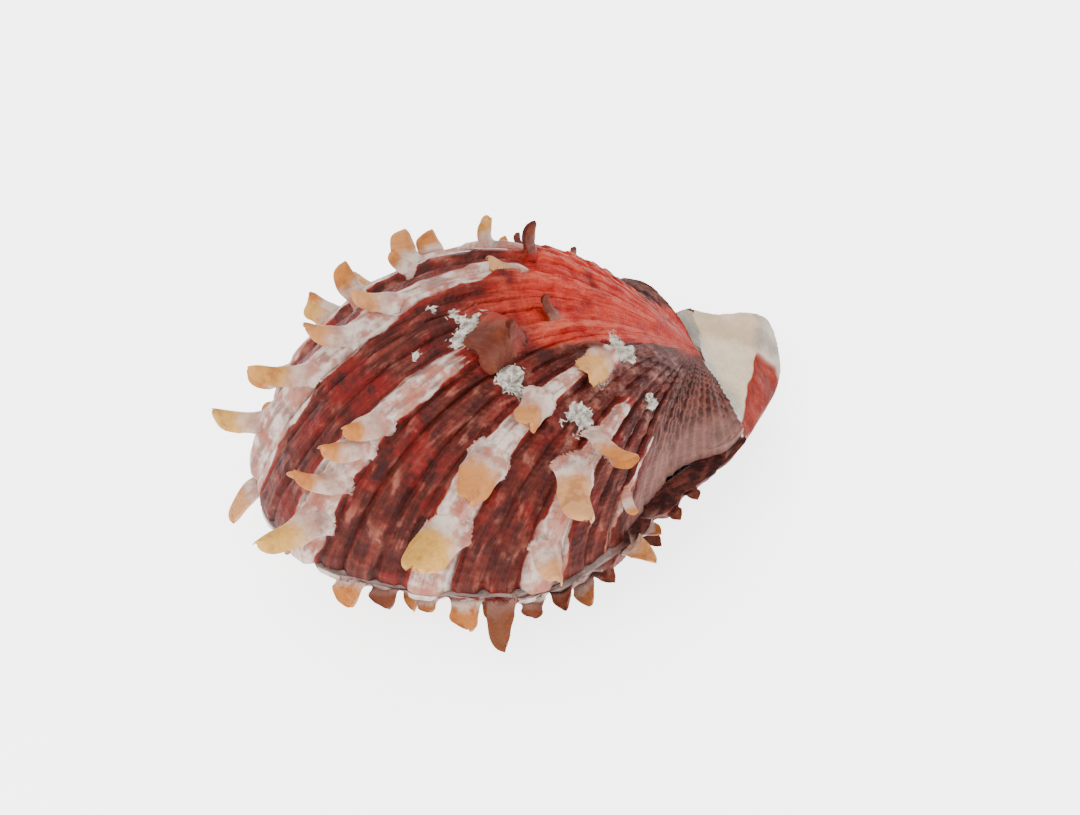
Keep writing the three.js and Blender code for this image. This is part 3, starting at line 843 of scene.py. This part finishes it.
def neighbour_piece(low, high):
    """The room of the other valve within the margin, to be kept clear of spines."""
    count = NEIGHBOUR_CORNERS
    x, y = LOWER_MARGIN.at(np.linspace(0, 1, count))
    outline = MIDDLE + (np.stack([x, y], axis=-1) - MIDDLE) * NEIGHBOUR_REACH
    piece = add(bpy.ops.mesh.primitive_cylinder_add, vertices=count, radius=1, depth=2)
    drum = read_points(piece.data)
    order = np.round(np.arctan2(drum[:, 1], drum[:, 0]) / (2 * math.pi) * count).astype(int) % count
    points = np.column_stack([outline[order], np.where(drum[:, 2] > 0, high, low)])
    write_points(piece.data, to_frame(points))
    return edit_all(piece, face_outward)


def flank_distance(x, y):
    """How far a place lies outside the line where the beak's top turns into its front flank."""
    turn = math.radians(FLANK_TURN)
    return (x - FLANK_MIDDLE[0]) * math.sin(turn) - (y - FLANK_MIDDLE[1]) * math.cos(turn)


def cardinal_piece(valve):
    """What is taken off the top of the beak to leave its sloping area and its front flank."""
    piece, across, along = new_grid("cardinal", *CARDINAL_GRID)
    x = lerp(*CUT_X, across)
    y = lerp(*CUT_Y, along)
    from_middle = x - CARDINAL_MIDDLE[0]
    hollow = CARDINAL_HOLLOW - np.sqrt(CARDINAL_HOLLOW ** 2 - from_middle ** 2)
    slope, tilt = (math.tan(math.radians(angle)) for angle in (CARDINAL_SLOPE, CARDINAL_TILT))
    top = valve.top - CARDINAL_DROP - slope * from_middle + tilt * (y - CARDINAL_MIDDLE[1]) + hollow
    point = np.stack([x, y, top], axis=-1)
    trough = TROUGH_DEPTH
    for place, middle, half in zip((x, y), TROUGH_MIDDLE, TROUGH_HALF):
        trough = trough * np.exp(-((place - middle) / half) ** 2)
    bumps = sum(height * valve.mottle.at(point, cell) for height, cell in CUT_BUMPS)
    lines = CUT_LINE_HEIGHT * np.sin(CUT_LINES * x + 2 * valve.mottle.at(point, BROAD_CELL))
    top = top + bumps + lines - trough
    outside = flank_distance(x, y)
    flank = valve.top - FLANK_DROP - outside * math.tan(math.radians(FLANK_SLOPE)) + bumps
    blend = np.clip(0.5 + (flank - top) / EDGE_BLEND, 0, 1)
    z = lerp(flank, top, blend) - EDGE_ROUNDING * blend * (1 - blend)
    write_points(piece.data, to_frame(np.stack([x, y, z], axis=-1)))
    return close_to_level(piece, 60)


def spine_piece(master, valve, spine, seed):
    """A copy of the master ball, shaped into one fluted tongue that grows out of the valve."""
    u, t, rise, lean, length, width, tip_width, tone = spine
    odd = np.random.default_rng(seed).uniform(-1, 1, 6)
    base, place_u, place_t = valve.foot(spine)
    growth, out, across = (v[0] for v in valve.directions(place_u, place_t))
    rise, lean = math.radians(rise), math.radians(lean)
    along = math.cos(lean) * (math.cos(rise) * growth + math.sin(rise) * out) + math.sin(lean) * across
    side = unit(across - along * np.dot(across, along))
    face = np.cross(along, side)
    if np.dot(face, growth) > 0:
        face = -face
    piece = bpy.data.objects.new("spine", master.data.copy())
    bpy.context.collection.objects.link(piece)
    ball = read_points(piece.data)
    ring = np.arctan2(ball[:, 1], ball[:, 0])
    s = (1 + ball[:, 2]) / 2 * (1 + SPINE_ROOT) - SPINE_ROOT
    up = np.clip(s, 0, 1)
    tip = np.maximum(1 - up ** (9 + 3 * odd[0]), 0) ** 0.5
    flare = 1 + SPINE_FLARE * np.exp(-np.maximum(s + 0.05, 0) / 0.2)
    reach = np.cos(ring)
    waist = 1 + 0.07 * np.sin(7 * s + 3 * odd[1]) + 0.05 * reach * np.sin(11 * s + 3 * odd[2])
    half_width = 0.5 * width * flare * lerp(1, tip_width, up ** 0.9) * tip * waist
    half_thick = width * lerp(*SPINE_THICK, up) * flare * tip ** 0.7
    cords = 1 + 0.1 * np.cos(reach * 10 + 6 * odd[3])
    ragged = SPINE_REACH + 0.07 * odd[4] * reach * up + 0.03 * np.sin(6 * reach + 9 * odd[5]) * up
    x = half_width * reach
    y = half_thick * np.sin(ring) * cords - SPINE_CUP * width * flare * reach ** 2 * tip ** 0.5
    bow = SPINE_BOW * length * (up - up ** 2) * 4
    lift = y + SPINE_CUP / 2 * width - bow
    points = base + np.outer(s * ragged * length, along) + np.outer(x, side) + np.outer(lift, face)
    points -= np.outer(np.maximum(-s, 0) * length * 0.5, out)
    write_points(piece.data, to_frame(points))
    write_values(piece.data, "u", u)
    write_values(piece.data, "t", t)
    write_values(piece.data, "spine", np.clip(s, 0.001, 1))
    write_values(piece.data, "tone", tone)
    write_values(piece.data, "tinge", np.clip(1.0 - 0.11 * width, 0.06, 0.5))
    return piece


def spines_piece(valve):
    """All spines of a valve, modelled from one ball and joined in one piece."""
    master = add(bpy.ops.mesh.primitive_uv_sphere_add, segments=BALL_SEGMENTS, ring_count=BALL_RINGS)
    pieces = [spine_piece(master, valve, spine, number) for number, spine in enumerate(valve.spines)]
    bpy.data.meshes.remove(master.data)
    deselect_all()
    for piece in pieces:
        piece.select_set(True)
    bpy.context.view_layer.objects.active = pieces[0]
    bpy.ops.object.join()
    return edit_all(bpy.context.object, face_outward)


def soften_band(piece, name, rings, repeats):
    """Smooths the mesh in a band where the marked surface meets the rest."""
    mesh = piece.data
    marked = read_values(mesh, name) > 0
    edges = read_edges(mesh)
    near = np.zeros(len(mesh.vertices), bool)
    near[edges[marked[edges[:, 0]] != marked[edges[:, 1]]].ravel()] = True
    for _ in range(rings):
        near[edges[near[edges].any(axis=1)].ravel()] = True
    take(piece)
    set_mode("EDIT")
    bpy.ops.mesh.select_mode(type="VERT")
    bpy.ops.mesh.select_all(action="DESELECT")
    set_mode("OBJECT")
    mesh.vertices.foreach_set("select", near)
    set_mode("EDIT")
    bpy.ops.mesh.vertices_smooth(factor=0.5, repeat=repeats)
    set_mode("OBJECT")


def mend_values(mesh, names, marks):
    """Gives vertices that a boolean left without a place on the valve the mean of their neighbours."""
    edges = read_edges(mesh)
    values = np.stack([read_values(mesh, name) for name in names], axis=-1)
    lost = values[:, names.index("t")] == 0
    for mark in marks:
        lost &= read_values(mesh, mark) == 0
    for _ in range(3):
        total = np.zeros_like(values)
        count = np.zeros(len(values))
        for start, end in ((0, 1), (1, 0)):
            sound = edges[~lost[edges[:, end]]]
            np.add.at(total, sound[:, start], values[sound[:, end]])
            np.add.at(count, sound[:, start], 1)
        found = lost & (count > 0)
        values[found] = total[found] / count[found, None]
        lost &= ~found
    for name, column in zip(names, values.T):
        write_values(mesh, name, column)


def finish_piece(piece, name, material, node):
    piece.name = piece.data.name = name
    piece.data.materials.clear()
    piece.data.materials.append(material)
    take(piece)
    bpy.ops.object.shade_smooth_by_angle(angle=math.radians(60))
    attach(piece, "root")
    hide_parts(node)
    return piece


# Markings and painted shade, as numbers from 0 to 1 on the vertices


def paint_valve(valve, piece):
    """Writes the markings and painted shade of a valve from the places of its vertices."""
    mesh = piece.data
    mend_values(mesh, ["u", "t", "spine", "tone", "tinge"], ["cut", "cardinal", "inside"])
    u, t, point = read_values(mesh, "u"), read_values(mesh, "t"), from_frame(read_points(mesh))
    spine = read_values(mesh, "spine")
    for name, values in valve.markings(u, t, point, spine).items():
        write_values(mesh, name, np.clip(values, 0, 1))


def spine_feet(valve, point, wobble):
    """How near the feet of the pale spines lie, from 0 to 1."""
    near = np.zeros(len(point))
    for spine in valve.spines:
        foot, width, tone = valve.foot(spine)[0], spine[5], spine[7]
        away = np.linalg.norm(point - foot, axis=-1) / min(width, FOOT_WIDEST) + 0.2 * wobble
        near = np.maximum(near, (1 - smooth(away, 0.2, 0.52)) * min(0.7, 3 * tone))
    return near


def band_cover(bands, u, t, wobble):
    """How white the ribs are, from bands that run from their early place to t 1."""
    cover = np.zeros_like(u)
    for early_u, early_width, late_u, late_width, start in bands:
        share = (t - BANDS_EARLY) / (1 - BANDS_EARLY)
        centre = lerp(early_u, late_u, share)
        half = lerp(early_width, late_width, np.clip(share, 0, 1)) / 2
        away = np.abs(u - centre) / half + 0.3 * wobble
        begun = smooth(t + 0.03 * wobble, start, start + 0.06)
        cover = np.maximum(cover, (1 - smooth(away, 0.75, 1.2)) * begun)
    return cover


# Materials


class Wire:
    """A value of a shader that sums can be written with."""

    def __init__(self, finish, socket):
        self.finish, self.socket = finish, socket

    def maths(self, operation, *values):
        return self.finish.node("ShaderNodeMath", {"operation": operation}, dict(enumerate(values)))

    def __add__(self, other):
        return self.maths("ADD", self, other)

    def __radd__(self, other):
        return self.maths("ADD", other, self)

    def __sub__(self, other):
        return self.maths("SUBTRACT", self, other)

    def __rsub__(self, other):
        return self.maths("SUBTRACT", other, self)

    def __mul__(self, other):
        return self.maths("MULTIPLY", self, other)

    def __rmul__(self, other):
        return self.maths("MULTIPLY", other, self)


class Finish:
    """A material while it is put together."""

    def __init__(self, name):
        self.material = bpy.data.materials.new(name)
        self.material.use_nodes = True
        self.tree = self.material.node_tree
        self.shader = self.tree.nodes["Principled BSDF"]

    def fill(self, socket, value):
        """Links a wire to a socket, or sets the socket to a number, colour or screen colour."""
        if isinstance(value, Wire):
            self.tree.links.new(value.socket, socket)
        elif socket.type == "RGBA":
            colour = linear(value) if isinstance(value, int) else value
            socket.default_value = (*colour, 1)
        else:
            socket.default_value = value

    def node(self, kind, settings, values, output=0):
        """Adds a node with its settings and inputs, and gives one of its outputs."""
        node = self.tree.nodes.new(kind)
        for name, setting in settings.items():
            setattr(node, name, setting)
        for name, value in values.items():
            self.fill(node.inputs[name], value)
        return Wire(self, node.outputs[output])

    def set(self, **values):
        """Fills sockets of the surface shader; an underscore stands for a space."""
        for name, value in values.items():
            self.fill(self.shader.inputs[name.replace("_", " ")], value)

    def value(self, name):
        return self.node("ShaderNodeAttribute", {"attribute_name": name}, {}, "Fac")

    def place(self):
        return self.node("ShaderNodeTexCoord", {}, {}, "Object")

    def part(self, vector, axis):
        """One number of a vector: 0 for x, 1 for y and 2 for z."""
        return self.node("ShaderNodeSeparateXYZ", {}, {0: vector}, axis)

    def vector(self, x, y, z=0.0):
        return self.node("ShaderNodeCombineXYZ", {}, {0: x, 1: y, 2: z})

    def noise(self, vector, scale, detail=3.0, roughness=0.55):
        values = {"Vector": vector, "Scale": scale, "Detail": detail, "Roughness": roughness}
        return self.node("ShaderNodeTexNoise", {}, values, "Fac")

    def streaks(self, u, t, counts, kind):
        """Noise drawn out along the growth of a valve."""
        return self.noise(self.vector(u * counts[0], t * counts[1]), *kind)

    def wave(self, value):
        """A smooth wave of a value, from 0 to 1, once for each whole number."""
        return (value * (2 * math.pi)).maths("SINE", value * (2 * math.pi)) * 0.5 + 0.5

    def ramp(self, value, low, high):
        """0 below low, 1 above high, and smooth between."""
        settings = {"interpolation_type": "SMOOTHSTEP"}
        return self.node("ShaderNodeMapRange", settings, {0: value, 1: low, 2: high})

    def mix(self, low, high, share):
        """Goes from one colour to another."""
        return self.node("ShaderNodeMix", {"data_type": "RGBA"}, {0: share, 6: low, 7: high}, 2)

    def bump(self, height, distance, strength=1.0, below=None):
        """A normal from a height, laid over the normal of another bump."""
        values = {"Height": height, "Distance": distance, "Strength": strength}
        if below:
            values["Normal"] = below
        return self.node("ShaderNodeBump", {}, values)

    def shell(self, colour, grain, roughness, normal):
        """Sets the satin, chalky surface of a shell and gives the material."""
        least, varied = roughness
        self.set(Base_Color=colour, Roughness=least + varied * grain, Normal=normal)
        self.set(Specular_IOR_Level=SPECULAR)
        return self.material


def row_x(places):
    """Places along x about the hinge, in mm, as metres in the shell's frame."""
    return [(place + ORIGIN[0]) * MM for place in places]


def row_z(places):
    """Heights about the hinge, in mm, as metres in the shell's frame."""
    return [(place + ORIGIN[2]) * MM for place in places]


def upper_material(colours):
    """Dark red shell with white ribs, coral umbo, ochre spine tips, pale crust and painted shade in the rib
    grooves.
    """
    f = Finish("red_ribbed_shell")
    place, u, t = f.place(), f.value("u"), f.value("t")
    streak = f.streaks(u, t, UPPER_STREAKS, FINE_STREAK)
    cloth, grain, patch = (f.noise(place, *kind) for kind in (CLOTH, GRAIN, UPPER_PATCH))

    between = f.mix(DEEP_MAROON, colours.maroon, f.ramp(streak * 0.6 + patch * 0.4, 0.36, 0.66))
    blotch = f.value("blotch") * f.ramp(cloth * 0.6 + patch * 0.4, 0.42, 0.56)
    between = f.mix(between, BLOOD_RED, blotch)
    crimson = f.ramp(f.noise(place, *CRIMSON_PATCH) * 0.7 + streak * 0.3, 0.52, 0.62)
    between = f.mix(between, CRIMSON, crimson * 0.7)
    worn = f.ramp(f.streaks(u, t, WORN_STREAKS, ROUGH_STREAK) * 0.6 + patch * 0.4, 0.53, 0.64)
    between = f.mix(between, WORN_RED, worn * 0.22)
    speck = f.ramp(grain * 0.3 + cloth * 0.3 + streak * 0.4, 0.52, 0.64)
    between = f.mix(between, SPECK_RED, speck * 0.25)

    edge = f.value("lamella") * f.ramp(patch * 0.5 + streak * 0.5, 0.46, 0.6)
    between = f.mix(between, STEP_EDGE, edge * 0.5)

    bright = f.mix(DEEP_CORAL, colours.coral, f.ramp(streak * 0.5 + patch * 0.5, 0.38, 0.62))
    pale = f.ramp(0.6 * f.value("pale") + 1.4 * (streak - 0.5) + 1.3 * (patch - 0.5), 0.3, 0.75)
    bright = f.mix(bright, PALE_CORAL, pale * 0.35)
    colour = f.mix(between, bright, f.value("coral") * f.ramp(cloth, 0.15, 0.5))

    dust = f.mix(*DUST, f.ramp(grain * 0.4 + patch * 0.6, 0.44, 0.62))
    colour = f.mix(colour, dust, f.value("dust") * f.ramp(patch * 0.5 + cloth * 0.5, 0.46, 0.62) * 0.45)
    riblet = f.wave(u * RIBLETS)
    plum = f.mix(*PLUM, f.ramp(grain * 0.5 + patch * 0.5, 0.42, 0.6))
    plum = f.mix(plum, RIBLET_CREST, f.ramp(riblet + 0.9 * (patch - 0.5), 0.4, 1.0) * 0.45)
    low = f.ramp(t + 0.3 * (patch - 0.5), 0.72, 0.95)
    plum = f.mix(plum, EAR_RIM, low * 0.42)
    colour = f.mix(colour, plum, f.value("ear"))

    stain = f.noise(place, *STAIN_PATCH)
    white = f.mix(STAINED_WHITE, colours.white, f.ramp(stain * 0.55 + streak * 0.45, 0.4, 0.57))
    white = f.mix(white, RED_STAIN, f.ramp(patch * 0.6 + cloth * 0.4, 0.45, 0.58) * 0.75)
    ragged = f.ramp(f.value("white") + 1.1 * (streak - 0.5) + 1.1 * (patch - 0.5), 0.4, 0.72)
    colour = f.mix(colour, BAND_EDGE, f.ramp(f.value("white"), 0.02, 0.35) * 0.5)
    colour = f.mix(colour, white, ragged)
    # Painted shade darkens the grooves between the ribs.
    colour = f.mix(colour, GROOVE_SHADE, f.value("groove_shade") * 0.8)
    wiggle = f.noise(place, *TUBE_LINES) - 0.5
    tubes = 1 - f.ramp(wiggle.maths("ABSOLUTE", wiggle), 0.012, 0.04)
    crust = f.mix(*CRUST_SHADES, f.ramp(grain, 0.4, 0.6))
    covered = f.value("crust") + 0.5 * (patch - 0.5)
    colour = f.mix(colour, crust, tubes * f.ramp(covered, 0.05, 0.3))
    colour = f.mix(colour, crust, f.ramp(covered + 0.9 * (grain - 0.5), 0.6, 0.8) * 0.7)

    tips = spine_colour(f, streak, patch, colours)
    colour = f.mix(colour, tips, f.ramp(f.value("spine") + 0.3 * (patch - 0.5), 0.0, 0.25))
    colour = f.mix(colour, INSIDE, f.value("inside"))
    normal = shell_grain(f, t, streak, patch, grain)
    normal = f.bump(riblet * f.value("ear"), *RIBLET_BUMP, normal)
    return f.shell(colour, grain, UPPER_ROUGHNESS, normal)


def spine_colour(f, streak, patch, colours):
    """White or brown at the foot of a spine, then orange and yellow to its tip."""
    spine, tone = f.value("spine"), f.value("tone")
    foot = f.mix(*FOOT, f.ramp(tone, 0.05, 0.3))
    foot = f.mix(foot, FOOT_STAIN, f.ramp(patch * 0.6 + streak * 0.4, 0.42, 0.6) * 0.7)
    tip = f.mix(*TIP, f.ramp(tone, 0.05, 0.4))
    tip = f.mix(tip, colours.ochre, f.ramp(tone, 0.55, 0.95))
    light = f.ramp(tone, 0.05, 0.4)
    tip = f.mix(tip, TIP_LIGHT, f.ramp(streak, 0.46, 0.66) * light * 0.5)
    tip = f.mix(tip, TIP_STAIN, f.ramp(patch, 0.5, 0.68) * 0.45)
    rings = f.wave(spine * 5 + 4.0 * patch)
    tip = f.mix(tip, TIP_RING, f.ramp(rings, 0.5, 1.0) * 0.15)
    reach = spine - f.value("tinge") + 0.5 * (streak - 0.5) + 0.6 * (patch - 0.5)
    return f.mix(foot, tip, f.ramp(reach, -0.05, 0.32))


def shell_grain(f, t, streak, patch, grain):
    """Growth lines, lengthwise cords and pits as one normal."""
    lines = f.wave(t * GROWTH_LINES + streak * 1.5 + patch * 2.0)
    normal = f.bump(lines, *LINE_BUMP)
    normal = f.bump(streak, *STREAK_BUMP, normal)
    normal = f.bump(patch, *PATCH_BUMP, normal)
    return f.bump(grain, *GRAIN_BUMP, normal)


def lower_material(colours, top):
    """White beak with a grey rim, orange-red flanks and mauve, paler ribs, up to its flat top; the grey of
    the beak's end and the bluish grey by the hinge are partly painted shade.
    """
    f = Finish("pale_ribbed_shell")
    place, u, t = f.place(), f.value("u"), f.value("t")
    streak = f.streaks(u, t, LOWER_STREAKS, ROUGH_STREAK)
    cloth, grain, patch = (f.noise(place, *kind) for kind in (CLOTH, GRAIN, LOWER_PATCH))

    mauve = f.mix(*MAUVE, f.ramp(streak, 0.35, 0.65))
    mauve = f.mix(mauve, MAUVE_RED, f.value("red") * f.ramp(streak, 0.35, 0.6))
    white = f.mix(MAUVE_WHITE, colours.white, f.ramp(cloth * 0.5 + patch * 0.5, 0.4, 0.58))
    colour = f.mix(mauve, white, f.ramp(f.value("white") + 0.5 * (streak - 0.5), 0.35, 0.62))

    maroon = f.mix(*DARK_SIDE, f.ramp(patch, 0.4, 0.62))
    colour = f.mix(colour, maroon, f.value("dark"))
    x, z = f.part(place, 0), f.part(place, 2)
    ledge = f.mix(*LEDGE, f.ramp(cloth, 0.35, 0.65))
    ledge = f.mix(ledge, maroon, f.ramp(x, *row_x(RIM_DARKENS)))
    on_ledge = f.ramp(z, *row_z([top + fade for fade in LEDGE_FADE]))
    colour = f.mix(colour, ledge, on_ledge)

    cream = f.mix(DULL_CREAM, colours.cream, f.ramp(cloth, 0.35, 0.65))
    cream = f.mix(cream, PINK_TINT, f.value("tint") * f.ramp(cloth, 0.42, 0.6) * 0.8)
    behind_hinge = f.ramp(x, *row_x(HINGE_LINE))
    area = f.ramp(f.value("cardinal"), 0.2, 0.9) + on_ledge * behind_hinge
    # Bluish grey by the hinge line, partly worn shell and partly painted shade in the dip there.
    hinge_grey_and_shade = f.mix(*HINGE_GREY_AND_SHADE, f.ramp(cloth, 0.4, 0.6))
    cream = f.mix(hinge_grey_and_shade, cream, f.ramp(x + 0.004 * (cloth - 0.5), *row_x(CREAM_FROM)))
    colour = f.mix(colour, cream, f.ramp(area, 0.1, 0.9))

    orange = f.mix(DEEP_ORANGE, colours.orange, f.ramp(cloth * 0.5 + patch * 0.5, 0.4, 0.6))
    colour = f.mix(colour, orange, f.ramp(f.value("orange") + 0.4 * (patch - 0.5), 0.3, 0.7))
    # Grey rim and end of the beak, partly the shell's colour and partly painted shade.
    rim = f.mix(*GREY_RIM_AND_SHADE, f.ramp(cloth, 0.35, 0.65))
    colour = f.mix(colour, rim, f.value("rim"))

    tips = spine_colour(f, streak, patch, colours)
    colour = f.mix(colour, tips, f.ramp(f.value("spine") + 0.3 * (patch - 0.5), 0.0, 0.25))
    colour = f.mix(colour, INSIDE, f.value("inside"))
    colour = f.mix(colour, SCAR, f.value("cut"))
    normal = shell_grain(f, t, streak, patch, grain)
    return f.shell(colour, grain, LOWER_ROUGHNESS, normal)


def floor_material():
    """A matt white table, lit a little from below as for photographs of small things."""
    f = Finish("white_table")
    f.set(Base_Color=FLOOR_COLOUR, Roughness=0.9)
    f.set(Emission_Color=(1, 1, 1), Emission_Strength=FLOOR_GLOW)
    return f.material


# Operators


class MakeUpperValve(bpy.types.Operator):
    """Models the free, domed valve with its ribs and spines"""

    bl_idname = "shell.upper_valve"
    bl_label = "Upper valve"

    def execute(self, context):
        sizes = context.scene.shell_sizes
        valve = UpperValve(sizes)
        edge = -sizes.edge / MM
        piece = valve_sheet(valve, "upper", sizes.columns, sizes.rows, valve.surface)
        close_to_level(piece, edge)
        join_or_cut(piece, spines_piece(valve), "UNION")
        soften_band(piece, "spine", *SPINE_SOFTENING)
        join_or_cut(piece, hollow_piece(valve, UPPER_HOLLOW, edge, edge - PAST), "DIFFERENCE", "inside")
        join_or_cut(piece, neighbour_piece(-FAR, edge), "DIFFERENCE")
        paint_valve(valve, piece)
        material = upper_material(context.scene.shell_colours)
        finish_piece(piece, "upper_valve_shell", material, "upper_valve")
        return {"FINISHED"}


class MakeLowerValve(bpy.types.Operator):
    """Models the deep valve with its beak, ribs and spines"""

    bl_idname = "shell.lower_valve"
    bl_label = "Lower valve"

    def execute(self, context):
        sizes = context.scene.shell_sizes
        valve = LowerValve(sizes)
        top = valve.top
        piece = valve_sheet(valve, "lower", sizes.columns, sizes.rows, valve.surface)
        close_to_level(piece, top + PAST)
        join_or_cut(piece, box_piece((-FAR, -FAR, top), (FAR, FAR, FAR)), "DIFFERENCE")
        join_or_cut(piece, spines_piece(valve), "UNION")
        soften_band(piece, "spine", *SPINE_SOFTENING)
        join_or_cut(piece, neighbour_piece(top + CLEAR, FAR), "DIFFERENCE")
        join_or_cut(piece, cardinal_piece(valve), "DIFFERENCE", "cardinal")
        soften_band(piece, "cardinal", *BEAK_SOFTENING)
        join_or_cut(piece, hollow_piece(valve, LOWER_HOLLOW, top, top + PAST), "DIFFERENCE", "inside")
        scar = -sizes.scar_depth / MM
        join_or_cut(piece, box_piece((-FAR, -FAR, -FAR), (FAR, FAR, scar)), "DIFFERENCE", "cut")
        paint_valve(valve, piece)
        material = lower_material(context.scene.shell_colours, top)
        finish_piece(piece, "lower_valve_shell", material, "lower_valve")
        return {"FINISHED"}


class MakeShellStage(bpy.types.Operator):
    """Adds the pale floor, the soft studio light and the camera"""

    bl_idname = "shell.stage"
    bl_label = "Stage"

    def execute(self, context):
        self.floor()
        self.lights()
        self.camera(context)
        return {"FINISHED"}

    def floor(self):
        floor = add(bpy.ops.mesh.primitive_plane_add, size=6)
        floor.name = "floor"
        floor.data.materials.append(floor_material())

    def lights(self):
        world = bpy.data.worlds.new("studio")
        world.use_nodes = True
        background = world.node_tree.nodes["Background"].inputs
        background["Color"].default_value = (1, 1, 1, 1)
        background["Strength"].default_value = STUDIO_LIGHT
        bpy.context.scene.world = world
        for name, (place, size, power) in LAMPS.items():
            light = add(bpy.ops.object.light_add, type="AREA", location=place)
            light.name = name
            light.data.size = size
            light.data.energy = power
            light.rotation_euler = (-Vector(place)).to_track_quat("-Z", "Y").to_euler()

    def camera(self, context):
        turn, rise = math.radians(CAMERA_TURN), math.radians(CAMERA_RISE)
        level = math.cos(rise)
        away = np.array([math.sin(turn) * level, -math.cos(turn) * level, math.sin(rise)])
        place = to_frame(CAMERA_AIM + away * CAMERA_DISTANCE)
        camera = add(bpy.ops.object.camera_add, location=place)
        camera.rotation_euler = Vector(away).to_track_quat("Z", "Y").to_euler()
        camera.data.sensor_width = 36
        camera.data.lens = CAMERA_LENS
        camera.data.shift_x, camera.data.shift_y = CAMERA_SHIFT
        context.scene.camera = camera


class ShellPanel(bpy.types.Panel):
    """Lists the shell's operators in the sidebar."""

    bl_idname = "VIEW3D_PT_spiny_shell"
    bl_label = "Spiny oyster shell"
    bl_space_type = "VIEW_3D"
    bl_region_type = "UI"
    bl_category = "Shell"

    def draw(self, context):
        for kind in OPERATORS:
            self.layout.operator(kind.bl_idname)
        for group in (context.scene.shell_sizes, context.scene.shell_colours):
            for name in group.bl_rna.properties.keys():
                if name not in ("rna_type", "name"):
                    self.layout.prop(group, name)


OPERATORS = (MakeUpperValve, MakeLowerValve, MakeShellStage)
CLASSES = (ShellSizes, ShellColours, *OPERATORS, ShellPanel)


def register():
    for kind in CLASSES:
        bpy.utils.register_class(kind)
    bpy.types.Scene.shell_sizes = bpy.props.PointerProperty(type=ShellSizes)
    bpy.types.Scene.shell_colours = bpy.props.PointerProperty(type=ShellColours)


def unregister():
    del bpy.types.Scene.shell_colours
    del bpy.types.Scene.shell_sizes
    for kind in reversed(CLASSES):
        bpy.utils.unregister_class(kind)


def main():
    """Registers the add-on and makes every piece."""
    register()
    bpy.ops.shell.upper_valve()
    bpy.ops.shell.lower_valve()
    bpy.ops.shell.stage()


if __name__ == "__main__":
    main()
